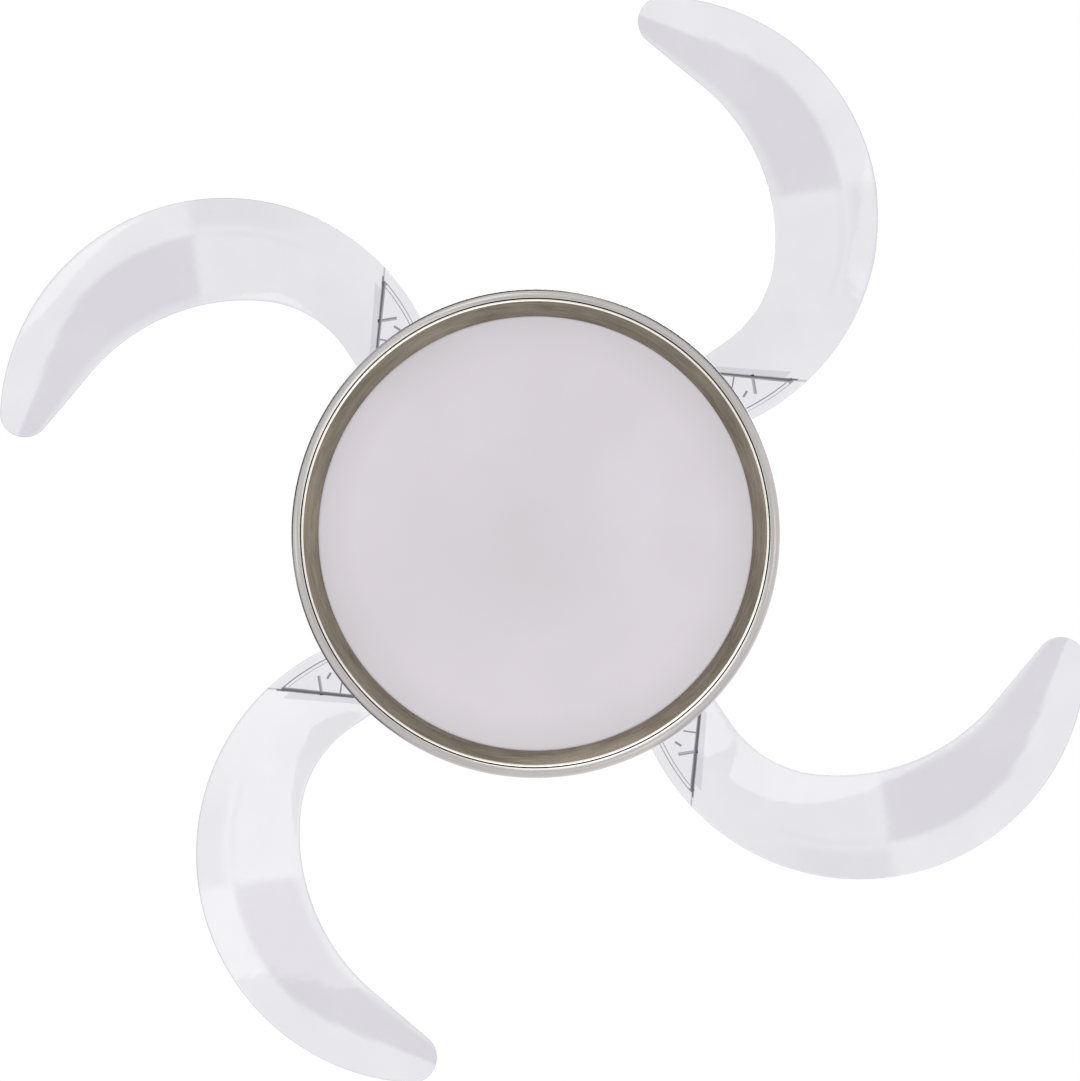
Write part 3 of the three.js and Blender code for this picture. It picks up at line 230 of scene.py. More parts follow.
class Shader(Nodes):
    """A material, built from the object's own coordinates up."""

    def __init__(self, name):
        self.material = bpy.data.materials.new(name)
        super().__init__(self.material)
        self.place = self.add("TexCoord").outputs["Object"]

    def noise(self, scale, detail=4.0, roughness=0.6, place=None):
        return self.add("TexNoise", {"Vector": place or self.place, "Scale": scale,
                                     "Detail": detail, "Roughness": roughness}).outputs["Fac"]

    def blend(self, factor, low, high):
        mix = self.add("Mix", data_type="RGBA")
        self.tree.links.new(factor, mix.inputs[0])
        mix.inputs[6].default_value = (*low, 1)
        mix.inputs[7].default_value = (*high, 1)
        return mix.outputs[2]

    def bump(self, height, distance, strength):
        inputs = {"Height": height, "Distance": distance, "Strength": strength}
        return self.add("Bump", inputs).outputs["Normal"]

    def polar(self, around, across):
        """Coordinates that change slowly round the Z axis and fast away from it."""
        parts = self.add("SeparateXYZ", {0: self.place}).outputs
        flat = self.out("CombineXYZ", {0: parts[0], 1: parts[1]})
        radius = self.add("VectorMath", {0: flat}, operation="LENGTH").outputs["Value"]
        turn = self.out("VectorMath", {0: flat}, operation="NORMALIZE")
        turn = self.out("VectorMath", {0: turn, 3: around}, operation="SCALE")
        out = self.add("SeparateXYZ", {0: turn}).outputs
        drop = self.math("MULTIPLY", parts[2], 0.7)
        depth = self.math("MULTIPLY", self.math("ADD", radius, drop), across)
        return self.out("CombineXYZ", {0: out[0], 1: out[1], 2: depth})

    def finish(self, surface):
        self.add("OutputMaterial", {"Surface": surface})
        return self.material

    def principled(self, **values):
        """The finished material from one principled surface."""
        inputs = {key.replace("_", " ").title().replace("Ior", "IOR"): value
                  for key, value in values.items()}
        return self.finish(self.out("BsdfPrincipled", inputs))


# ---- materials
def brushed(name, dark, light, roughness=0.3, anisotropic=0.65):
    """Metal with fine brush lines round its axis."""
    s = Shader(name)
    fine = s.noise(1, 3, 0.65, s.polar(7, 2600))
    coarse = s.noise(1, 2, 0.5, s.polar(5, 620))
    cloud = s.noise(9, 3, 0.5)
    grain = s.math("ADD", s.math("MULTIPLY", fine, 0.55), s.math("MULTIPLY", coarse, 0.3))
    grain = s.math("ADD", grain, s.math("MULTIPLY", cloud, 0.15))
    colour = s.blend(s.remap(grain, 0.34, 0.66), dark, light)
    rough = s.remap(fine, 0.3, 0.7, roughness - 0.06, roughness + 0.08)
    tangent = s.out("Tangent", direction_type="RADIAL", axis="Z")
    return s.principled(
        base_color=colour, metallic=1.0, roughness=rough, anisotropic=anisotropic,
        tangent=tangent, normal=s.bump(fine, 0.00004, 0.5))


def machined(name, dark, light, roughness, lines=1400):
    """Turned or drawn metal with faint tool marks and a few dull clouds."""
    s = Shader(name)
    marks = s.noise(1, 2, 0.5, s.polar(3, lines))
    cloud = s.noise(60, 5, 0.6)
    mixed = s.math("ADD", s.math("MULTIPLY", marks, 0.5), s.math("MULTIPLY", cloud, 0.5))
    colour = s.blend(s.remap(mixed, 0.35, 0.65), dark, light)
    rough = s.remap(cloud, 0.3, 0.7, roughness - 0.07, roughness + 0.1)
    return s.principled(
        base_color=colour, metallic=1.0, roughness=rough, normal=s.bump(marks, 0.00003, 0.5))


def cast(name, dark, light, roughness):
    """Die-cast metal with a fine pebbled skin."""
    s = Shader(name)
    skin = s.noise(900, 3, 0.6)
    cloud = s.noise(45, 4, 0.6)
    colour = s.blend(s.remap(cloud, 0.35, 0.65), dark, light)
    rough = s.remap(skin, 0.3, 0.7, roughness - 0.08, roughness + 0.08)
    return s.principled(
        base_color=colour, metallic=0.9, roughness=rough, normal=s.bump(skin, 0.0001, 0.6))


def moulded(name, dark, light, roughness, size=1500, depth=0.00004):
    """Plastic, paint or rubber: a faint orange-peel skin and slight shifts in tone."""
    s = Shader(name)
    skin = s.noise(size, 2, 0.5)
    cloud = s.noise(22, 4, 0.55)
    colour = s.blend(s.remap(cloud, 0.33, 0.67), dark, light)
    rough = s.remap(skin, 0.3, 0.7, roughness - 0.05, roughness + 0.05)
    return s.principled(
        base_color=colour, roughness=rough, normal=s.bump(skin, depth, 0.6))


def wound(name, dark, light):
    """Enamelled wire laid side by side round the coil."""
    s = Shader(name)
    wire = s.add("TexWave", {"Vector": s.polar(0.4, 1.0), "Scale": 420.0, "Distortion": 0.8,
                             "Detail": 1.0}, bands_direction="Z").outputs["Fac"]
    colour = s.blend(wire, dark, light)
    return s.principled(
        base_color=colour, metallic=0.85, roughness=s.remap(wire, 0, 1, 0.5, 0.28),
        normal=s.bump(wire, 0.0003, 0.8))


def circuit_board(name):
    """White solder mask over copper tracks that show faintly through it."""
    s = Shader(name)
    tracks = s.add("TexVoronoi", {"Vector": s.polar(9, 60), "Scale": 1.0},
                   distance="MANHATTAN").outputs["Distance"]
    edge = s.remap(tracks, 0.42, 0.46)
    colour = s.blend(edge, (0.86, 0.86, 0.84), (0.78, 0.79, 0.76))
    return s.principled(
        base_color=colour, roughness=s.remap(s.noise(400), 0.3, 0.7, 0.35, 0.5),
        normal=s.bump(edge, 0.00005, 0.6))


def opal(name):
    """Light-spreading acrylic: soft clouds, a very fine frost and painted shade that darkens its
    middle and its rim.
    """
    s = Shader(name)
    cloud = s.noise(7, 3, 0.5)
    flat = s.out("Mapping", {"Vector": s.place, "Scale": (1, 1, 0)})
    radius = s.add("VectorMath", {0: flat}, operation="LENGTH").outputs["Value"]
    # painted shade: darker in the middle and towards the rim, with random clouds added
    middle = s.remap(radius, 0.02, 0.1, 0.35, 0)
    rim = s.remap(radius, 0.165, 0.2, 0, 0.4)
    painted_dimming = s.math("ADD", s.math("ADD", middle, rim), s.remap(cloud, 0.35, 0.65, 0, 0.3))
    colour = s.blend(painted_dimming, (0.845, 0.795, 0.855), (0.71, 0.68, 0.70))
    frost = s.noise(2600, 2, 0.5)
    return s.principled(
        base_color=colour, roughness=s.remap(frost, 0.3, 0.7, 0.42, 0.52),
        specular_ior_level=0.3, normal=s.bump(frost, 0.00002, 0.3))


def clear(name):
    """Clear moulded plastic: painted reflection greys its tint in patches, and painted shade
    darkens its sloping walls, step and ribs.
    """
    s = Shader(name)
    painted_reflection = s.add("Attribute", attribute_name="painted_reflection").outputs["Fac"]
    painted_shade = s.add("Attribute", attribute_name="painted_shade").outputs["Fac"]
    cloud = s.noise(11, 3, 0.5)
    # painted reflection with random clouds over it
    body = s.math("ADD", painted_reflection, s.remap(cloud, 0.3, 0.7, -0.16, 0.16))
    tint = s.blend(body, (0.925, 0.921, 0.94), (0.838, 0.830, 0.856))
    shade = s.add("Mix", {0: painted_shade, 6: tint, 7: (0.30, 0.30, 0.335, 1)}, data_type="RGBA")
    through = s.out("BsdfTransparent", {"Color": shade.outputs[2]})
    flow = s.noise(38, 3, 0.5)
    normal = s.bump(flow, 0.0008, 0.25)
    gloss = s.out("BsdfGlossy", {"Roughness": s.remap(flow, 0.3, 0.7, 0.03, 0.07),
                                 "Color": (0.96, 0.96, 0.97, 1), "Normal": normal})
    haze = s.out("BsdfDiffuse", {"Color": (0.82, 0.81, 0.84, 1)})
    share = s.remap(body, 0, 1, 0.02, 0.05)
    inner = s.out("MixShader", {0: share, 1: through, 2: haze})
    facing = s.add("LayerWeight", {"Blend": 0.5, "Normal": normal}).outputs["Facing"]
    mirror = s.remap(s.math("POWER", facing, 5.0), 0, 1, 0.032, 0.9)
    # less mirror where painted shade darkens the plastic
    mirror = s.math("MULTIPLY", mirror, s.remap(painted_shade, 0, 0.8, 1, 0.05))
    return s.finish(s.out("MixShader", {0: mirror, 1: inner, 2: gloss}))


# maker, darker colour, lighter colour and the rest that the maker takes, by slot
FINISHES = {
    "brushed_nickel": (brushed, (0.45, 0.425, 0.415), (0.60, 0.58, 0.57)),
    "steel": (machined, (0.40, 0.41, 0.42), (0.56, 0.565, 0.57), 0.32),
    "zinc_steel": (machined, (0.52, 0.54, 0.56), (0.72, 0.73, 0.72), 0.36, 260),
    "sheet_aluminium": (machined, (0.58, 0.59, 0.6), (0.74, 0.745, 0.75), 0.34),
    "cast_aluminium": (cast, (0.50, 0.51, 0.52), (0.66, 0.665, 0.67), 0.45),
    "white_paint": (moulded, (0.76, 0.76, 0.75), (0.83, 0.83, 0.82), 0.4, 700, 0.00006),
    "board_enamel": (circuit_board,),
    "white_plastic": (moulded, (0.72, 0.72, 0.70), (0.80, 0.80, 0.785), 0.45),
    "clear_plastic": (clear,),
    "opal_plastic": (opal,),
    "nylon": (moulded, (0.66, 0.64, 0.57), (0.76, 0.74, 0.68), 0.48, 900, 0.00005),
    "dark_plastic": (moulded, (0.018, 0.018, 0.02), (0.045, 0.045, 0.048), 0.45),
    "magnet": (cast, (0.05, 0.05, 0.055), (0.11, 0.11, 0.115), 0.5),
    "copper": (wound, (0.30, 0.09, 0.03), (0.72, 0.30, 0.13)),
    "spring_steel": (machined, (0.26, 0.27, 0.29), (0.48, 0.49, 0.51), 0.25),
    "cable_sheath": (moulded, (0.012, 0.012, 0.013), (0.035, 0.035, 0.036), 0.6),
}
MATERIALS = {slot: make(slot, *values) for slot, (make, *values) in FINISHES.items()}
# Painted shade: a near-black copy of the brushed nickel for the groove beside the lip.
PAINTED_GROOVE_SHADE = brushed("groove", (0.03, 0.028, 0.025), (0.07, 0.065, 0.06), 0.5)
# Painted highlight: a light cream copy of the brushed nickel for the lip's rounded edge.
PAINTED_LIP_HIGHLIGHT = brushed("lip_painted_highlight", (0.80, 0.76, 0.68), (0.93, 0.89, 0.82), 0.22)
# Painted dark reflection: a darker, warmer copy of the brushed nickel for the inner band.
PAINTED_DARK_INNER_BAND = brushed("inner_band_painted_dark_reflection", (0.145, 0.122, 0.096), (0.30, 0.262, 0.212), 0.3, 0.7)


# ---- mesh helpers
WELD = 0.002  # corners nearer than this are one


def new_mesh(name, vertices, faces, smooth=32):
    """A mesh in metres from millimetres, welded, its faces turned outwards."""
    mesh = bpy.data.meshes.new(name)
    mesh.from_pydata([Vector(v) * MM for v in vertices], [], faces)
    work = bmesh.new()
    work.from_mesh(mesh)
    bmesh.ops.remove_doubles(work, verts=work.verts, dist=WELD * MM)
    bmesh.ops.dissolve_degenerate(work, edges=work.edges, dist=WELD * MM / 2)
    bmesh.ops.recalc_face_normals(work, faces=work.faces)
    work.to_mesh(mesh)
    work.free()
    soften(mesh, smooth)
    return mesh


def soften(mesh, degrees):
    mesh.polygons.foreach_set("use_smooth", [True] * len(mesh.polygons))
    mesh.set_sharp_from_angle(angle=math.radians(degrees))


def new_object(name, data):
    piece = bpy.data.objects.new(name, data)
    bpy.context.scene.collection.objects.link(piece)
    return piece


def finished(name, mesh, *materials):
    """An object that shows a mesh in its materials."""
    piece = new_object(name, mesh)
    if not mesh.materials:
        for material in materials:
            mesh.materials.append(material)
    return piece


def join_meshes(name, meshes, weld=0):
    """One mesh that holds copies of several, welded where their corners meet."""
    work = bmesh.new()
    for mesh in meshes:
        work.from_mesh(mesh)
    if weld:
        bmesh.ops.remove_doubles(work, verts=work.verts, dist=weld * MM)
    joined = bpy.data.meshes.new(name)
    work.to_mesh(joined)
    work.free()
    soften(joined, 32)
    return joined


def moved(mesh, matrix):
    copy = mesh.copy()
    copy.transform(matrix)
    return copy


def shift(x=0.0, y=0.0, z=0.0):
    return Matrix.Translation((x * MM, y * MM, z * MM))


def turn(degrees, axis="Z"):
    return Matrix.Rotation(math.radians(degrees), 4, axis)


def show(node, mesh, matrix=None, *materials):
    """Puts a mesh in the place of a CAD node, on its body and with its finish."""
    piece = finished(node + "_form", mesh, *(materials or [MATERIALS[SLOT_OF[node]]]))
    if matrix:
        piece.matrix_world = matrix
    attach(piece, BODY_OF[node])
    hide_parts(node)
    return piece


def polar(radius, degrees):
    angle = math.radians(degrees)
    return radius * math.cos(angle), radius * math.sin(angle)


def oval(r, z, width, height, start, end, steps):
    """Profile points of a stretch of an ellipse about (r, z), both ends included."""
    turns = [polar(1, start + (end - start) * i / steps) for i in range(steps + 1)]
    return [(r + width * x, z + height * y) for x, y in turns]


def rounded(profile, fillet, steps=4):
    """A closed profile with each corner off the axis rounded."""
    result = []
    count = len(profile)
    for i, corner in enumerate(profile):
        here = Vector(corner[:2])
        before = Vector(profile[i - 1][:2]) - here
        after = Vector(profile[(i + 1) % count][:2]) - here
        size = corner[2] if len(corner) > 2 else fillet
        reach = min(size, 0.45 * before.length, 0.45 * after.length)
        if here.x < 1e-6 or reach < 0.02 or before.angle(after, 0) > math.radians(165):
            result.append(tuple(here))
            continue
        start = here + before.normalized() * reach
        end = here + after.normalized() * reach
        for k in range(steps + 1):
            t = k / steps
            point = start * (1 - t) ** 2 + here * (2 * t * (1 - t)) + end * t ** 2
            result.append(tuple(point))
    return result


def lathe(name, profile, sides=96, fillet=0.25, smooth=32):
    """A closed profile of (radius, z) corners turned about Z."""
    points = rounded(profile, fillet)
    vertices = []
    for i in range(sides):
        x, y = polar(1, 360 * i / sides)
        vertices += [(r * x, r * y, z) for r, z in points]
    count = len(points)
    faces = []
    for i in range(sides):
        a = i * count
        b = (i + 1) % sides * count
        for k in range(count):
            n = (k + 1) % count
            if points[k][0] < 1e-6 and points[n][0] < 1e-6:
                continue
            faces.append((a + k, a + n, b + n, b + k))
    return new_mesh(name, vertices, faces, smooth)


def turned(node, profile, sides, fillet=0.25):
    """Puts a lathed form in the place of a CAD node."""
    show(node, lathe(node, profile, sides, fillet))


def prism(name, outlines, bottom, high, drafted=None):
    """A plate from its outline and its holes; drafted holds the outlines of its top."""
    loops = [[Vector((x, y, 0)) for x, y in loop] for loop in outlines]
    flat = [point for loop in loops for point in loop]
    caps = tessellate_polygon(loops)
    count = len(flat)
    above = [point for loop in drafted or outlines for point in loop]
    vertices = [(p.x, p.y, bottom) for p in flat] + [(x, y, high) for x, y in above]
    faces = [tuple(cap) for cap in caps] + [tuple(i + count for i in cap) for cap in caps]
    start = 0
    for loop in loops:
        size = len(loop)
        for i in range(size):
            a, b = start + i, start + (i + 1) % size
            faces.append((a, b, b + count, a + count))
        start += size
    return new_mesh(name, vertices, faces)


def circle(radius, sides, x=0.0, y=0.0):
    points = [polar(radius, 360 * i / sides) for i in range(sides)]
    return [(x + px, y + py) for px, py in points]


def rings_of_faces(rings, sides):
    """Faces that join each ring of vertices to the next."""
    return [(i * sides + k, i * sides + (k + 1) % sides,
             (i + 1) * sides + (k + 1) % sides, (i + 1) * sides + k)
            for i in range(rings - 1) for k in range(sides)]


def tube(name, points, radius, sides):
    """One closed tube through points that run round the Z axis or along it."""
    path = [Vector(p) for p in points]
    vertices = []
    for i, point in enumerate(path):
        ahead = path[min(i + 1, len(path) - 1)] - path[max(i - 1, 0)]
        across = ahead.cross(Vector((point.x, point.y, 0))).normalized()
        upright = across.cross(ahead).normalized()
        for k in range(sides):
            c, s = polar(radius, 360 * k / sides)
            vertices.append(point + upright * c + across * s)
    faces = rings_of_faces(len(path), sides)
    faces.append(tuple(range(sides)))
    faces.append(tuple((len(path) - 1) * sides + k for k in range(sides)))
    return new_mesh(name, vertices, faces, 50)


def carve(mesh, tool, operation):
    """A mesh joined with, or cut by, another one."""
    piece = new_object("carved", mesh)
    other = new_object("tool", tool)
    modifier = piece.modifiers.new("carve", "BOOLEAN")
    modifier.operation = operation
    modifier.solver = "EXACT"
    modifier.object = other
    graph = bpy.context.evaluated_depsgraph_get()
    result = bpy.data.meshes.new_from_object(piece.evaluated_get(graph))
    for item in (piece, other):
        bpy.data.objects.remove(item)
    return result


# ---- blades
def along(radius, angle):
    """Plan point at an angle along a folded blade, with the fan's axis as origin."""
    return polar(radius, -angle)


def ray_to_circle(angle, centre, radius, far):
    dx, dy = along(1, angle)
    middle = dx * centre[0] + dy * centre[1]
    rest = middle ** 2 - centre[0] ** 2 - centre[1] ** 2 + radius ** 2
    half = math.sqrt(max(0.0, rest))
    return middle + half if far else middle - half


def ray_to_line(angle, a, b):
    dx, dy = along(1, angle)
    lx, ly = b[0] - a[0], b[1] - a[1]
    return (a[0] * ly - a[1] * lx) / (dx * ly - dy * lx)


def crossing_tangent(a, radius_a, b, radius_b, side):
    """Touching points of the line that crosses over between two circles."""
    bearing = math.atan2(b[1] - a[1], b[0] - a[0])
    reach = math.acos((radius_a + radius_b) / math.hypot(b[0] - a[0], b[1] - a[1]))
    x, y = polar(1, math.degrees(bearing + side * reach))
    return (a[0] + radius_a * x, a[1] + radius_a * y), (b[0] - radius_b * x, b[1] - radius_b * y)


def angle_of(x, y):
    """Angle along a folded blade, of one place or of arrays of them."""
    angle = -np.degrees(np.arctan2(y, x))
    return np.where(angle < -90, angle + 360, angle)


def smoothstep(value, low, high):
    share = np.clip((value - low) / (high - low), 0, 1)
    return share * share * (3 - 2 * share)


class BladePlan:
    """The sickle outline: arcs and tangents, read as radius against angle."""

    pivot = (PIVOT_RADIUS, 0)
    tip = along(BLADE_ARC - TIP_RADIUS, TIP_ANGLE)
    root = along(ROOT_INNER_OFFSET, ROOT_INNER_BEARING)
    join = along(1, INNER_JOIN_BEARING)
    middle = tuple(
        r - (MID_INNER_RADIUS - ROOT_INNER_RADIUS) * j for r, j in zip(root, join))
    start, end_touch = crossing_tangent(root, ROOT_INNER_RADIUS, pivot, ROOT_END_RADIUS, -1)
    stop, tip_touch = crossing_tangent(middle, MID_INNER_RADIUS, tip, TIP_RADIUS, 1)
    join_point = tuple(r + ROOT_INNER_RADIUS * j for r, j in zip(root, join))
    first = -math.degrees(math.asin(ROOT_END_RADIUS / PIVOT_RADIUS))
    last = TIP_ANGLE + math.degrees(math.asin(TIP_RADIUS / (BLADE_ARC - TIP_RADIUS)))

    @classmethod
    def inner(cls, angle):
        stretches = (
            (cls.end_touch, ray_to_circle, cls.pivot, ROOT_END_RADIUS, False),
            (cls.start, ray_to_line, cls.end_touch, cls.start),
            (cls.join_point, ray_to_circle, cls.root, ROOT_INNER_RADIUS, True),
            (cls.stop, ray_to_circle, cls.middle, MID_INNER_RADIUS, True),
            (cls.tip_touch, ray_to_line, cls.stop, cls.tip_touch))
        for end, meet, *shape in stretches:
            if angle < angle_of(*end):
                return meet(angle, *shape)
        return ray_to_circle(angle, cls.tip, TIP_RADIUS, False)

    @classmethod
    def outer(cls, angle):
        if angle < 0:
            return ray_to_circle(angle, cls.pivot, ROOT_END_RADIUS, True)
        if angle < TIP_ANGLE:
            return BLADE_ARC
        return ray_to_circle(angle, cls.tip, TIP_RADIUS, True)


def blade_lift(x, y, share):
    """Height of the underside past the step, above the root plate's underside."""
    angle = angle_of(x, y)
    pitched = math.tan(math.radians(BLADE_PITCH)) * (PLATE_EDGE - np.hypot(x, y))
    risen = BLADE_RISE * np.maximum(0, angle - WALL_OUTER) / 90
    built = smoothstep(angle, WALL_INNER, WALL_INNER + CAMBER_REACH)
    fade = 1 - smoothstep(angle, TIP_ANGLE - CAMBER_REACH, BladePlan.last)
    return pitched + risen + BLADE_CAMBER * built * fade * (1 - (2 * share - 1) ** 2)


ROOT_ROWS = 26  # of the blade's grid, up to the step
WALL_ROWS = 24
BLADE_ROWS = 96
BLADE_COLUMNS = 28
WALL_SPREAD = 1.0  # degrees before and after the step that its close rows fill
RIM_ROUND = 1.2  # width in plan of the blade's rounded edge


def blade_rows():
    """Outer angle, inner angle and distance past the step of each row, in degrees."""
    rows = []
    for i in range(ROOT_ROWS):
        share = 1 - math.cos(math.pi / 2 * i / ROOT_ROWS)
        outer = BladePlan.first + (WALL_OUTER - WALL_SPREAD - BladePlan.first) * share
        inner = BladePlan.first + (WALL_INNER - WALL_SPREAD - BladePlan.first) * share
        rows.append((outer, inner, -WALL_SPREAD))
    for i in range(WALL_ROWS):
        past = WALL_SPREAD * (2 * i / WALL_ROWS - 1)
        rows.append((WALL_OUTER + past, WALL_INNER + past, past))
    for i in range(BLADE_ROWS + 1):
        share = math.sin(math.pi / 2 * i / BLADE_ROWS)
        outer = WALL_OUTER + WALL_SPREAD
        inner = WALL_INNER + WALL_SPREAD
        rows.append((outer + (BladePlan.last - outer) * share,
                     inner + (BladePlan.last - inner) * share, WALL_SPREAD))
    return rows


def rim_distance(x, y, outline):
    """Distance in plan from each point to the nearest stretch of the outline."""
    a = outline
    b = np.roll(outline, -1, axis=0)
    run = b - a
    long = np.maximum((run ** 2).sum(1), 1e-9)
    best = np.full(x.size, 1e9)
    points = np.stack([x.ravel(), y.ravel()], 1)
    for start, step, size in zip(a, run, long):
        t = np.clip(((points - start) @ step) / size, 0, 1)
        best = np.minimum(best, np.hypot(*(points - start - t[:, None] * step).T))
    return best.reshape(x.shape)


def blade_surface():
    """The sheet as a welded grid of an upper and a lower face that meet at a round rim."""
    rows = blade_rows()
    share = (1 - np.cos(np.pi * np.arange(BLADE_COLUMNS + 1) / BLADE_COLUMNS)) / 2
    outer = np.array([along(BladePlan.outer(o), o) for o, _, _ in rows])
    inner = np.array([along(BladePlan.inner(i), i) for _, i, _ in rows])
    past = np.array([p for _, _, p in rows])[:, None]
    x = outer[:, :1] + (inner[:, :1] - outer[:, :1]) * share
    y = outer[:, 1:] + (inner[:, 1:] - outer[:, 1:]) * share
    outline = np.concatenate([outer, inner[::-1]])
    keep = np.hypot(*(outline - np.roll(outline, 1, axis=0)).T) > 1e-3
    distance = rim_distance(x, y, outline[keep])
    round_off = np.sqrt(1 - (1 - np.clip(distance / RIM_ROUND, 0, 1)) ** 2)
    half = BLADE_THICK / 2
    lift = blade_lift(x, y, share)
    lean = math.degrees(WALL_LEAN / BLADE_ARC)
    step = math.degrees(BLADE_THICK / BLADE_ARC)
    low = smoothstep(past, 0, lean)
    high = smoothstep(past, -step, lean - step)
    rim = distance < 1e-6
    low, high = (np.where(rim, (low + high) / 2, side) for side in (low, high))
    base = PLATE_FOOT + half
    under = base + lift * low - half * round_off
    over = base + lift * high + half * round_off
    return x - PIVOT_RADIUS, y, under, over


def blade_sheet():
    x, y, under, over = blade_surface()
    count, width = x.shape
    vertices = [(x[i, k], y[i, k], z[i, k]) for z in (over, under)
                for i in range(count) for k in range(width)]
    corners = [side + i * width + k for side in (0, count * width)
               for i in range(count - 1) for k in range(width - 1)]
    faces = [(a, a + width, a + width + 1, a + 1) for a in corners]
    return new_mesh("blade_sheet", vertices, faces)


def rib(outline, place):
    """A rib on the root plate; its outline shrinks by the given inset towards its top."""
    mesh = prism("rib", [outline(0)], PLATE_TOP - RIB_ROOT, PLATE_TOP + RIB_HEIGHT,
                 drafted=[outline(RIB_DRAFT)])
    return moved(mesh, place)


def straight_rib(ends, width=RIB_WIDTH):
    (ax, ay), (bx, by) = ends
    length = math.hypot(bx - ax, by - ay) / 2

    def outline(inset):
        long, half = length - inset, width / 2 - inset
        return [(-long, -half), (long, -half), (long, half), (-long, half)]

    bearing = math.degrees(math.atan2(by - ay, bx - ax))
    return rib(outline, shift((ax + bx) / 2, (ay + by) / 2) @ turn(bearing))


def edge_rib():
    """The rib that follows the blade's outer edge from the step on."""
    start, end = -WALL_OUTER + EDGE_RIB_END, -WALL_INNER

    def outline(inset):
        outer = PLATE_EDGE + RIB_DRAFT - inset
        inner = PLATE_EDGE - RIB_WIDTH - RIB_DRAFT + inset
        turns = [start + (end - start) * i / 24 for i in range(25)]
        return [polar(outer, t) for t in turns] + [polar(inner, t) for t in turns[::-1]]

    return rib(outline, shift(-PIVOT_RADIUS))


def segment_distance(point, ends):
    a, b, p = (Vector(v) for v in (*ends, point))
    share = max(0.0, min(1.0, (p - a).dot(b - a) / (b - a).length_squared))
    return (a + (b - a) * share - p).length


def past_wall(point):
    """Distance past the step, along the blade; negative on the root plate."""
    outer = Vector(along(BLADE_ARC, WALL_OUTER)) - Vector(BladePlan.pivot)
    inner = Vector(along(BladePlan.inner(WALL_INNER), WALL_INNER)) - Vector(BladePlan.pivot)
    run = (inner - outer).normalized()
    away = Vector(point) - outer
    return run.x * away.y - run.y * away.x


# Painted shade on the blades: dark lines along the step and its ribs, and a fainter painted
# shadow past the step.
STEP_LINE = (-0.9, 1.8, 2.5)  # start, dark end and soft end of the step's line, past the step
STEP_ECHO = (4.6, 5.8)  # the fainter painted shadow that the step throws further on
STEP_RIM_END = 1.6  # end of the line where it crosses the blade's rim


def line_shade(point, height):
    """Painted shade: how dark the step, its ribs and the edges beside them are drawn at a place.
    """
    past = past_wall(point)
    reach = math.hypot(point[0] + PIVOT_RADIUS, point[1])
    if STEP_LINE[0] < past < STEP_LINE[2]:
        if reach > PLATE_EDGE + 1:
            return 0.3 if 0 < past < STEP_RIM_END else 0.0
        return 0.86 if past < STEP_LINE[1] else 0.45
    if STEP_ECHO[0] < past < STEP_ECHO[1] and reach < PLATE_EDGE:
        return 0.13
    if height < 0.5 or past > 0:
        return 0.0
    if segment_distance(point, TICK_RIB) < RIB_WIDTH:
        return 1.0
    if segment_distance(point, STUB_RIB) < RIB_WIDTH:
        return 0.95 if math.dist(point, STUB_RIB[1]) < 3.5 else 0.7
    return 0.8 if segment_distance(point, SIDE_RIB) < RIB_WIDTH else 0.0


# Painted reflection on the blades: past the core's start a darker core with a lighter strip by
# the outer edge, before it a greyer band by the outer edge, and a thin grey line along the core's
# edge.
CORE_START = (86, 89.5)  # degrees along the blade between which its darker core begins
CORE_EDGE = 0.29  # share of the blade's width outside the core, and its growth to the tip
CORE_NARROWING = 0.18
RIM_SHADE = 0.42  # of a steep face at the outer rim or past the step, beside one elsewhere


def mark_blade(mesh):
    """Stores the painted reflection at each vertex and the painted shade of each face."""
    places = np.zeros(len(mesh.vertices) * 3)
    mesh.vertices.foreach_get("co", places)
    x, y, _ = (places.reshape(-1, 3) / MM).T
    x = x + PIVOT_RADIUS
    angle = angle_of(x, y)
    wide = np.array([BladePlan.inner(a) if BladePlan.first < a < BladePlan.last else BLADE_ARC
                     for a in angle])
    across = np.clip((BLADE_ARC - np.hypot(x, y)) / np.maximum(BLADE_ARC - wide, 1), 0, 1)
    beyond = smoothstep(angle - 2 * across, *CORE_START)
    edge = CORE_EDGE + CORE_NARROWING * smoothstep(angle, 115, 165)
    core = smoothstep(across - edge, 0, 0.07) * (1 - 0.6 * smoothstep(across, 0.86, 0.97))
    band = (1 - smoothstep(across, 0.2, 0.3)) * smoothstep(angle, 50, 74)
    line = np.exp(-((across - edge - 0.03) / 0.018) ** 2) * smoothstep(angle, 45, 60)
    painted_reflection = (0.30 + 0.36 * band) * (1 - beyond) + (0.2 + 0.8 * core) * beyond + 0.3 * line
    mesh.attributes.new("painted_reflection", "FLOAT", "POINT").data.foreach_set("value", painted_reflection)
    painted_shade = []
    for face in mesh.polygons:
        centre = face.center / MM
        point = (centre.x, centre.y)
        shade = min(1.0, max(0.0, (0.75 - abs(face.normal.z)) / 0.5))
        reach = math.hypot(centre.x + PIVOT_RADIUS, centre.y)
        if reach > BLADE_ARC - 2 or past_wall(point) > 3:
            shade *= RIM_SHADE
        painted_shade.append(max(shade, line_shade(point, centre.z - PLATE_TOP)))
    mesh.attributes.new("painted_shade", "FLOAT", "FACE").data.foreach_set("value", painted_shade)


def root_holes(sides):
    """Outlines of a blade root's holes: the post's, then the screws'."""
    return [circle(POST_RADIUS + SEAT, 48)] + [
        circle(SCREW_RADIUS + SEAT, sides, *polar(ROOT_SCREW_OFFSET, angle))
        for angle in ROOT_SCREW_ANGLES]


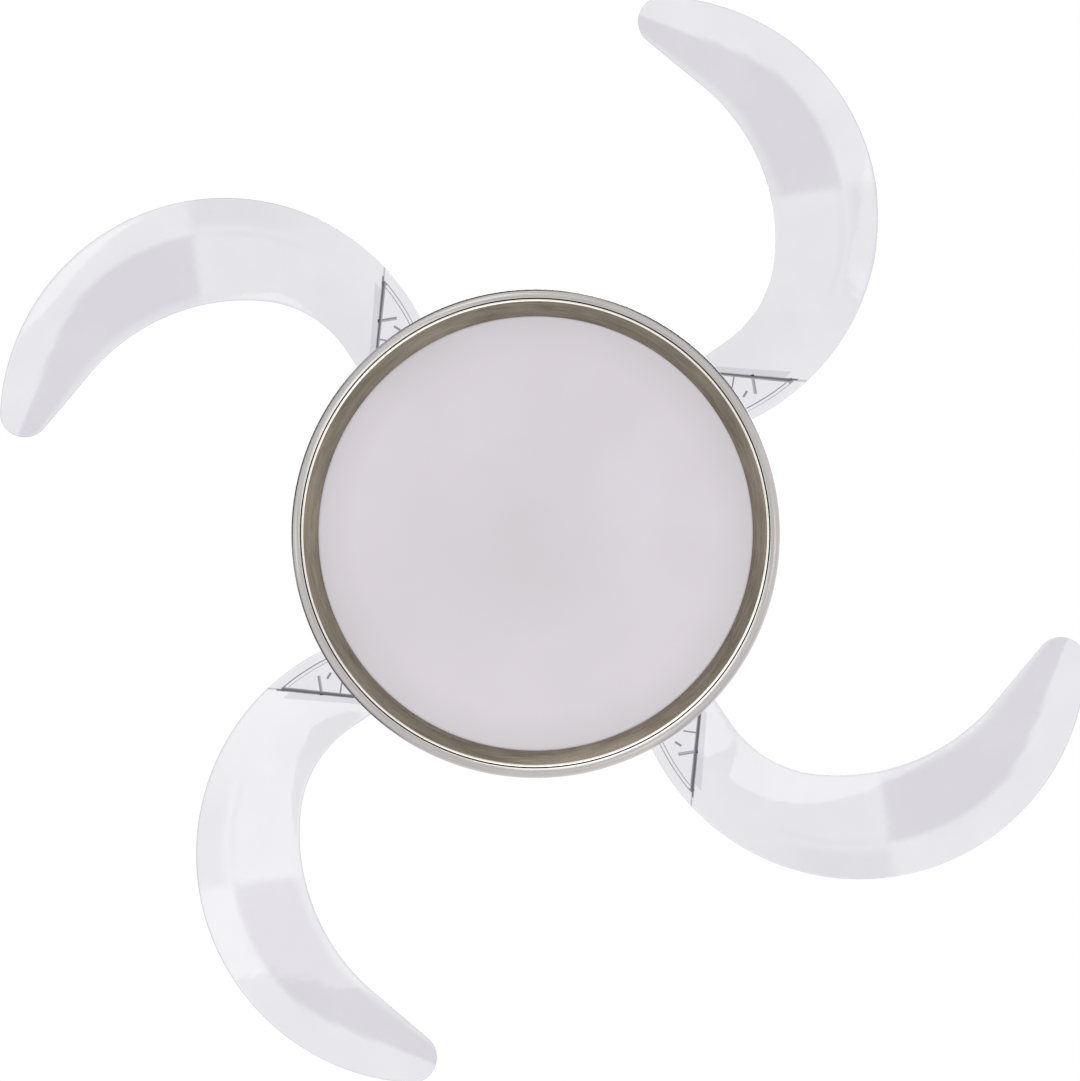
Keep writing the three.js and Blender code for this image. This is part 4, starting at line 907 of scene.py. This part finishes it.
def blade_mesh():
    """The root plate with its ribs and holes, the step and the sickle, as one sheet."""
    holes = [prism("hole", [ring], PLATE_TOP - 9, PLATE_TOP + 9) for ring in root_holes(24)]
    ribs = join_meshes("ribs", [
        edge_rib(), straight_rib(STUB_RIB, STUB_WIDTH), straight_rib(TICK_RIB),
        straight_rib(SIDE_RIB, SIDE_WIDTH)])
    mesh = carve(blade_sheet(), ribs, "UNION")
    mesh = carve(mesh, join_meshes("holes", holes), "DIFFERENCE")
    soften(mesh, 38)
    mark_blade(mesh)
    return mesh


def blade_place(number):
    return turn(PIVOT_ANGLE + 360 / BLADE_COUNT * (number - 1)) @ shift(PIVOT_RADIUS)


def show_round(meshes, place=Matrix()):
    """Shows meshes at each pivot, placed from it as they lie with the blade folded."""
    for number in range(1, BLADE_COUNT + 1):
        for kind, mesh in meshes.items():
            show(f"{kind}_{number}", mesh, blade_place(number) @ place)


def add_blades():
    mesh = moved(blade_mesh(), blade_place(1) @ turn(FOLD_ANGLE))
    for number in range(BLADE_COUNT):
        show(f"blade_{number + 1}", mesh, turn(360 / BLADE_COUNT * number))


# ---- light
def bevel_curve(inset):
    """Outer face of the trim ring, from its side wall to the lip."""
    return oval(LIP_RADIUS, foot("trim_ring") + OUTER_BEVEL, LIP_INSET - inset,
                inset - OUTER_BEVEL, 0, 90, 20)


def trim_profile():
    lip = foot("trim_ring")
    pan_top = top("light_pan")
    flange = foot("light_pan") + PAN_RIM - PAN_THICK - SEAT
    outer = PAN_RADIUS - PAN_THICK - SEAT
    inner = outer - TRIM_FLANGE
    web = pan_top - PAN_RIM - TRIM_WALL
    ledge = lip + INNER_RISE
    return [
        (inner, flange), (outer, flange), (outer, web), (DRUM_BORE, web), (DRUM_BORE, pan_top),
        (DRUM_RADIUS, pan_top, 0.5), *bevel_curve(0)[:-2],
        (LIP_RADIUS + LIP_HALF, lip + 0.1, 0.1),
        (LIP_RADIUS + (LIP_HALF + GROOVE_INNER) / 2, lip + GROOVE_DEPTH, 0.1),
        (LIP_RADIUS + GROOVE_INNER, lip + 0.1, 0.4), (LIP_RADIUS - LIP_HALF, lip, 0.6),
        (OPENING, ledge - 0.4, 0.5), (OPENING, ledge + LEDGE_THICK),
        (OPENING + LEDGE_WIDTH, ledge + LEDGE_THICK),
        (OPENING + LEDGE_WIDTH, lip + INNER_RISE * (1 - LEDGE_WIDTH / BAND_RUN) + TRIM_WALL),
        *bevel_curve(TRIM_WALL)[::-1], (DRUM_BORE, web - TRIM_WALL),
        (outer - TRIM_WALL, web - TRIM_WALL), (outer - TRIM_WALL, flange - TRIM_WALL),
        (inner, flange - TRIM_WALL),
    ]


def trim_zone(face):
    """Which material a face of the trim ring takes: the brushed nickel outside, the groove's
    painted shade, the lip's painted highlight or the inner band's painted dark reflection.
    """
    centre = face.center / MM
    radius = math.hypot(centre.x, centre.y)
    height = centre.z - foot("trim_ring")
    if radius > LIP_RADIUS + LIP_HALF + 0.05 or height > INNER_RISE + 0.3:
        return 0
    if radius > LIP_RADIUS + GROOVE_INNER:
        return 1 if height > 0.12 else 0
    return 2 if radius > LIP_RADIUS - LIP_HALF - 0.4 else 3


def add_trim():
    mesh = lathe("trim_ring", trim_profile(), 288, 0.3, 25)
    show("trim_ring", mesh, None, MATERIALS["brushed_nickel"], PAINTED_GROOVE_SHADE, PAINTED_LIP_HIGHLIGHT, PAINTED_DARK_INNER_BAND)
    for face in mesh.polygons:
        face.material_index = trim_zone(face)


def add_light():
    add_trim()
    lip = foot("trim_ring")
    seat = lip + INNER_RISE + LEDGE_THICK + SEAT
    bowl = OPENING - SEAT

    def dome(height):
        radii = [bowl * (1 - i / 24) for i in range(25)]
        return [(r, seat + height - DIFFUSER_DOME * (1 - (r / bowl) ** 2)) for r in radii]

    rim = bowl + DIFFUSER_FLANGE
    turned("diffuser", [
        *dome(DIFFUSER_THICK)[::-1], (rim, seat + DIFFUSER_THICK), (rim, seat), *dome(0),
    ], 192, 0.5)
    low, high = span("light_pan")
    hole = SHAFT_RADIUS + SEAT
    turned("light_pan", [
        (hole, high), (PAN_RADIUS, high, 1.2), (PAN_RADIUS, low), (PAN_RADIUS - PAN_THICK, low),
        (PAN_RADIUS - PAN_THICK, high - PAN_THICK), (hole, high - PAN_THICK),
    ], 192, 0.2)


# ---- covers and hanger
def add_canopy():
    low, high = span("canopy")
    draw = CANOPY_RADIUS - CANOPY_NECK
    depth = -CANOPY_SKIRT - low
    outer = oval(CANOPY_NECK, -CANOPY_SKIRT, draw, -depth, 0, 90, 14)
    inner = oval(CANOPY_NECK - CANOPY_WALL, -CANOPY_SKIRT, draw, CANOPY_WALL - depth, 0, 90, 14)
    turned("canopy", [
        (CANOPY_RADIUS, high, 0.4), *outer, (CANOPY_HOLE, low, 0.5),
        (CANOPY_HOLE, low + CANOPY_WALL), *inner[::-1], (CANOPY_RADIUS - CANOPY_WALL, high),
    ], 160)


def add_covers():
    low, high = span("coupling_cover")
    neck = ROD_RADIUS + SEAT
    spread = COUPLING_RADIUS - neck - COVER_WALL
    drop = high - COVER_NECK_HEIGHT - low

    def dome(inset):
        return oval(neck + COVER_WALL - inset, low - inset, spread, drop, 90, 0, 16)

    turned("coupling_cover", [
        (neck + COVER_WALL, high, 0.6), *dome(0), (COUPLING_RADIUS - COVER_WALL, low),
        *dome(COVER_WALL)[:-1][::-1], (neck, high, 0.3),
    ], 128)
    low, high = span("motor_cover")
    corner = MOTOR_RADIUS - MOTOR_ROUND
    hole = SHAFT_RADIUS + SEAT
    bend = MOTOR_ROUND - COVER_WALL
    outer = oval(corner, high - MOTOR_ROUND, MOTOR_ROUND, MOTOR_ROUND, 90, 0, 12)
    inner = oval(corner, high - MOTOR_ROUND, bend, bend, 0, 90, 12)
    turned("motor_cover", [
        (hole, high), *outer, (MOTOR_RADIUS, low, 0.4), (MOTOR_RADIUS - COVER_WALL, low),
        *inner, (hole, high - COVER_WALL),
    ], 192)


def add_hanger():
    low, high = span("downrod")
    bore = ROD_RADIUS - ROD_WALL
    turned("downrod", [(bore, low), (ROD_RADIUS, low), (ROD_RADIUS, high), (bore, high)], 72, 0.5)
    low, high = span("hanger_ball")
    middle, half = (high + low) / 2, (high - low) / 2
    reach = math.degrees(math.asin(half / BALL_RADIUS))
    surface = oval(0, middle, BALL_RADIUS, BALL_RADIUS, -reach, reach, 28)
    bore = ROD_RADIUS + SEAT
    turned("hanger_ball", [(bore, middle - half), *surface, (bore, middle + half)], 96, 0.5)


# ---- rotor
def add_tray():
    low, high = foot("blade_tray"), TRAY_TOP
    plate = lathe("tray_plate", [
        (TRAY_HOLE, low), (TRAY_RADIUS, low, 0.6), (TRAY_RADIUS, high, 0.6), (TRAY_HOLE, high),
    ], 192)
    peg_top = top("blade_tray")
    peg = lathe("tray_peg", [
        (0, high - 0.5), (GUIDE_RADIUS, high - 0.5), (GUIDE_RADIUS, peg_top, 0.8), (0, peg_top),
    ], 32)
    middle = RING_BORE - GUIDE_GAP - GUIDE_RADIUS
    pegs = [moved(peg, turn(360 / GUIDE_COUNT * i) @ shift(middle)) for i in range(GUIDE_COUNT)]
    show("blade_tray", join_meshes("blade_tray", [plate, *pegs]))


def add_posts_and_springs():
    low, high = span("pivot_post_1")
    under, over = foot("blade_tray") - SEAT, TRAY_TOP + SEAT
    collar = high - POST_HEAD_THICK
    post = lathe("pivot_post", [
        (0, low), (RIVET_HEAD_RADIUS, low, 0.8), (RIVET_HEAD_RADIUS, under),
        (RIVET_RADIUS, under), (RIVET_RADIUS, over), (POST_RADIUS, over), (POST_RADIUS, collar),
        (POST_HEAD_RADIUS, collar, 0.4), (POST_HEAD_RADIUS, high, 1.2), (0, high)], 48, 0.15)
    start = TRAY_TOP + RING_LIFT + SPRING_WIRE
    points = [(SPRING_RADIUS, 0, foot("return_spring_1") + 0.1),
              (SPRING_RADIUS, 0, start - 0.9)]
    steps = 40  # of each turn
    for i in range(SPRING_TURNS * steps + 1):
        x, y = polar(SPRING_RADIUS, 360 * i / steps)
        points.append((x, y, start + SPRING_PITCH * i / steps))
    spring = tube("return_spring", points, SPRING_WIRE / 2, 12)
    show_round({"pivot_post": post, "return_spring": spring})


def add_shells():
    """Both halves of the rotor, each with the pocket of its bearing."""
    ends = {1: top("rotor_shell_upper"), -1: foot("rotor_shell_lower")}
    middle = (ends[1] + ends[-1]) / 2
    passage = SHAFT_RADIUS + SHAFT_CLEARANCE
    pocket = BEARING_RADIUS + SEAT
    bore = ROTOR_RADIUS - ROTOR_WALL
    for node, side in (("rotor_shell_upper", 1), ("rotor_shell_lower", -1)):
        end, lip = ends[side], middle + side * SEAT / 2
        wall = end - side * ROTOR_WALL
        deep = wall - side * (BEARING_WIDTH + SEAT)
        turned(node, [
            (passage, end), (ROTOR_RADIUS, end, 2.0), (ROTOR_RADIUS, lip, 0.6), (bore, lip),
            (bore, wall), (pocket + ROTOR_WALL, wall), (pocket + ROTOR_WALL, deep),
            (pocket, deep), (pocket, wall), (passage, wall)], 144)


# ---- gears
def involute(angle):
    return math.tan(angle) - angle


def tooth_half_angle(teeth, radius):
    pitch = GEAR_MODULE * teeth / 2
    base = pitch * math.cos(math.radians(PRESSURE_ANGLE))
    local = math.acos(min(1, base / radius))
    half = math.pi / (2 * teeth) + involute(math.radians(PRESSURE_ANGLE)) - involute(local)
    return math.degrees(half - TOOTH_PLAY / radius)


def tooth(teeth, direction, steps=5):
    pitch = GEAR_MODULE * teeth / 2
    low, high = pitch - DEDENDUM * GEAR_MODULE, pitch + GEAR_MODULE
    radii = [low + (high - low) * i / steps for i in range(steps + 1)]
    up = [polar(r, direction - tooth_half_angle(teeth, r)) for r in radii]
    down = [polar(r, direction + tooth_half_angle(teeth, r)) for r in radii[::-1]]
    return up + down


def add_ring_gear():
    pitch = 360 / RING_TEETH
    swing = FOLD_ANGLE * HUB_TEETH / RING_TEETH
    spare = SPARE_TEETH * pitch
    corners = []
    for i in range(RING_TEETH):
        direction = (i + 0.5) * pitch
        past = direction % (360 / BLADE_COUNT)
        before = 360 / BLADE_COUNT - past
        if past < spare or before < swing + spare:
            corners += tooth(RING_TEETH, direction)
        else:
            corners.append(polar(RING_PITCH_RADIUS - DEDENDUM * GEAR_MODULE, direction))
    low, high = span("sync_ring")
    mesh = prism("sync_ring", [corners, circle(RING_BORE, 180)], low, high)
    bevel = show("sync_ring", mesh, turn(PIVOT_ANGLE)).modifiers.new("edge", "BEVEL")
    bevel.width = 0.25 * MM
    bevel.segments = 2
    bevel.limit_method = "ANGLE"
    bevel.angle_limit = math.radians(40)


def add_hubs():
    pitch = 360 / HUB_TEETH
    first = 180 - FOLD_ANGLE
    count = math.ceil(FOLD_ANGLE / pitch) + 3
    corners = []
    for i in range(-1, count - 1):
        corners += tooth(HUB_TEETH, first + i * pitch)
    start, end = first + (count - 1) * pitch, first - 2 * pitch + 360
    corners += [polar(HUB_RADIUS, start + (end - start) * i / 32) for i in range(33)]
    low, high = span("blade_hub_1")
    floor = low + POCKET_DEPTH
    bore, *screws = root_holes(20)
    upper = prism("hub_upper", [corners, bore, *screws], floor, high)
    lower = prism("hub_lower", [corners, circle(POCKET_RADIUS, 64)], low, floor)
    sleeve = prism("hub_sleeve", [circle(POST_RADIUS + SEAT + SLEEVE_WALL, 48), bore],
                   low, floor)
    mesh = join_meshes("blade_hub", [upper, lower, sleeve], 0.001)
    show_round({"blade_hub": mesh}, turn(FOLD_ANGLE))


# ---- screws
def screw_mesh(length, head):
    """A pan-head screw with a cross recess, its head's underside at z = 0."""
    body = lathe("screw", [
        (0, -length), (SCREW_RADIUS, -length, 0.6), (SCREW_RADIUS, 0), (SCREW_HEAD, 0, 0.1),
        (SCREW_HEAD, 0.55 * head, 0.5 * head), (0.3 * SCREW_HEAD, head, 0.3), (0, head)], 40, 0.1)
    arm, width = 0.5 * SCREW_HEAD, CROSS_WIDTH / 2
    cross = [(-arm, -width), (-width, -width), (-width, -arm)]
    for _ in range(3):
        cross += [(-y, x) for x, y in cross[-3:]]
    mesh = carve(body, prism("recess", [cross], 0.4 * head, head + 1), "DIFFERENCE")
    soften(mesh, 32)
    return mesh


def add_screws():
    seat = top("root_screw_1_1") - HEAD_HEIGHT
    root = screw_mesh(seat - foot("root_screw_1_1"), HEAD_HEIGHT)
    for number in range(1, BLADE_COUNT + 1):
        for index, angle in enumerate(ROOT_SCREW_ANGLES):
            spot = shift(*polar(ROOT_SCREW_OFFSET, angle), seat)
            place = blade_place(number) @ turn(FOLD_ANGLE) @ spot
            show(f"root_screw_{number}_{index + 1}", root, place)
    seat = top("trim_screw_1") - TRIM_HEAD_HEIGHT
    trim = screw_mesh(seat - foot("trim_screw_1"), TRIM_HEAD_HEIGHT)
    for number in (1, 2, 3):
        middle = sum(BOXES[f"trim_screw_{number}"], Vector()) / 2 / MM
        show(f"trim_screw_{number}", trim, shift(middle.x, middle.y, seat))
    for number, side in ((1, 1), (2, -1)):
        near, far = BOXES[f"canopy_screw_{number}"]
        mesh = screw_mesh((far.x - near.x) / MM - HEAD_HEIGHT, HEAD_HEIGHT)
        spot = shift(side * (CANOPY_RADIUS + SEAT), 0, (near.z + far.z) / 2 / MM)
        show(f"canopy_screw_{number}", mesh, spot @ turn(90 * side, "Y"))


# ---- build
add_blades()
add_light()
add_canopy()
add_covers()
add_hanger()
add_tray()
add_posts_and_springs()
add_shells()
add_ring_gear()
add_hubs()
add_screws()

for node, piece in frame["nodes"].items():
    piece.data.materials.clear()
    piece.data.materials.append(MATERIALS[SLOT_OF[node]])


# ---- stage, light and camera
FLOOR_Z = -2.9
CAMERA_LENS = 80.02
CAMERA_BACK = 2.1972
AXIS_SLOPE = (0.0340, 0.0367)  # how far the fan's axis leans in the picture
LIP_OFFSET = (-5.58, -8.29)  # of the lip's centre from the picture's, in its pixels
PICTURE_SIDE = 1081
SENSOR_WIDTH = 36

# place, height that it aims at, side and power of each square lamp
LAMPS = {
    "key": ((0.5, 0.9, -2.7), -0.3, 2.2, 24),
    "fill": ((-1.6, -1.2, -2.4), -0.3, 1.4, 8),
    "above": ((0.8, -1.4, 3.6), -0.2, 2.4, 40),
}
FLAG = (1.7, 1.4, 0.7, 3.0, 0)
STREAK = (-0.95, -0.25, 2.1)
# azimuth, distance, width, foot, top and light of each card round the fan
CARDS = {
    "flag_left": (200, *FLAG),
    "flag_upper": (255, *FLAG),
    "flag_right": (305, *FLAG),
    "flag_lower": (150, *FLAG),
    "streak_1": (254, 2.2, 0.7, *STREAK),
    "streak_2": (62, 2.2, 0.3, *STREAK),
    "streak_3": (180, 2.2, 0.3, *STREAK),
    "streak_4": (2, 2.2, 0.35, *STREAK),
}


def add_world():
    """White behind the object and in what it mirrors, softer as light on it."""
    world = bpy.data.worlds.new("studio")
    bpy.context.scene.world = world
    nodes = Nodes(world)
    path = nodes.add("LightPath").outputs
    seen = nodes.math("MAXIMUM", path["Is Camera Ray"], path["Is Glossy Ray"])
    seen = nodes.math("MAXIMUM", seen, path["Is Transmission Ray"])
    strength = nodes.remap(seen, 0, 1, 0.6, 1)
    background = nodes.out("Background", {"Color": (1, 1, 1, 1), "Strength": strength})
    nodes.add("OutputWorld", {"Surface": background})


def floor_material():
    """Pale floor that runs into the white backdrop."""
    s = Shader("pale_floor")
    radius = s.add("VectorMath", {0: s.place}, operation="LENGTH").outputs["Value"]
    far = s.remap(radius, 2.5, 9, 0.72, 1)
    colour = s.blend(s.noise(3, 3), (0.86, 0.86, 0.86), (0.89, 0.89, 0.89))
    near = s.out("BsdfDiffuse", {"Color": colour})
    path = s.add("LightPath").outputs
    seen = s.math("MAXIMUM", path["Is Camera Ray"], path["Is Glossy Ray"])
    fade = s.math("MULTIPLY", far, seen)
    white = s.out("Emission", {"Color": (1, 1, 1, 1)})
    floor = s.out("MixShader", {0: fade, 1: near, 2: white})
    behind = s.add("NewGeometry").outputs["Backfacing"]
    open_below = s.out("BsdfTransparent")
    return s.finish(s.out("MixShader", {0: behind, 1: floor, 2: open_below}))


def add_floor():
    rings = [0, 1, 2, 4, 8, 16, 30]
    sides = 64
    vertices = [(*polar(r * 1000, 360 * i / sides), 0) for r in rings for i in range(sides)]
    mesh = new_mesh("floor", vertices, rings_of_faces(len(rings), sides))
    if mesh.polygons[0].normal.z < 0:
        mesh.flip_normals()
    piece = finished("floor", mesh, floor_material())
    piece.location.z = FLOOR_Z


def add_lamp(name, place, aim_z, size, power):
    lamp = bpy.data.lights.new(name, "AREA")
    lamp.shape = "RECTANGLE"
    lamp.size = lamp.size_y = size
    lamp.energy = power
    piece = new_object(name, lamp)
    piece.location = place
    way = Vector((0, 0, aim_z)) - Vector(place)
    piece.rotation_mode = "QUATERNION"
    piece.rotation_quaternion = way.to_track_quat("-Z", "Y")


def add_card(name, azimuth, distance, width, low, high, light):
    """A card round the fan that only mirrored rays meet: dark, or lit with light over zero."""
    middle = Vector((*polar(distance, azimuth), 0))
    side = Vector((*polar(width / 2, azimuth + 90), 0))
    low, high = Vector((0, 0, low)), Vector((0, 0, high))
    corners = (middle - side + low, middle + side + low,
               middle + side + high, middle - side + high)
    mesh = bpy.data.meshes.new(name)
    mesh.from_pydata(corners, [], [(0, 1, 2, 3)])
    s = Shader(name)
    tone = s.remap(s.noise(1.5, 2), 0.3, 0.7, 0.9, 1.1)
    if light:
        surface = s.out("Emission", {"Strength": s.math("MULTIPLY", tone, light)})
    else:
        surface = s.out("BsdfDiffuse", {"Color": s.blend(tone, (0, 0, 0), (0.02, 0.02, 0.02))})
    piece = finished(name, mesh, s.finish(surface))
    for kind in ("camera", "diffuse", "transmission", "volume_scatter", "shadow"):
        setattr(piece, "visible_" + kind, False)


def add_camera():
    """Looks up at the light from below, a little off the fan's axis."""
    lean_x, lean_y = AXIS_SLOPE
    way = Vector((-lean_x, -lean_y, 1)).normalized()
    right = Vector((1, 0, lean_x)).normalized()
    down = way.cross(right).normalized()
    focal = CAMERA_LENS / SENSOR_WIDTH * PICTURE_SIDE
    lip = Vector((0, 0, foot("trim_ring") * MM))
    ray = way + right * (LIP_OFFSET[0] / focal) + down * (LIP_OFFSET[1] / focal)
    data = bpy.data.cameras.new("camera")
    data.lens = CAMERA_LENS
    data.sensor_width = SENSOR_WIDTH
    data.clip_start, data.clip_end = 0.05, 100
    piece = new_object("camera", data)
    piece.rotation_mode = "QUATERNION"
    axes = Matrix((right, -down, -way)).transposed()
    piece.rotation_quaternion = axes.to_quaternion()
    piece.location = lip - ray * CAMERA_BACK
    bpy.context.scene.camera = piece


add_world()
add_floor()
for name, values in LAMPS.items():
    add_lamp(name, *values)
for name, values in CARDS.items():
    add_card(name, *values)
add_camera()
bpy.context.scene.view_settings.view_transform = "Standard"
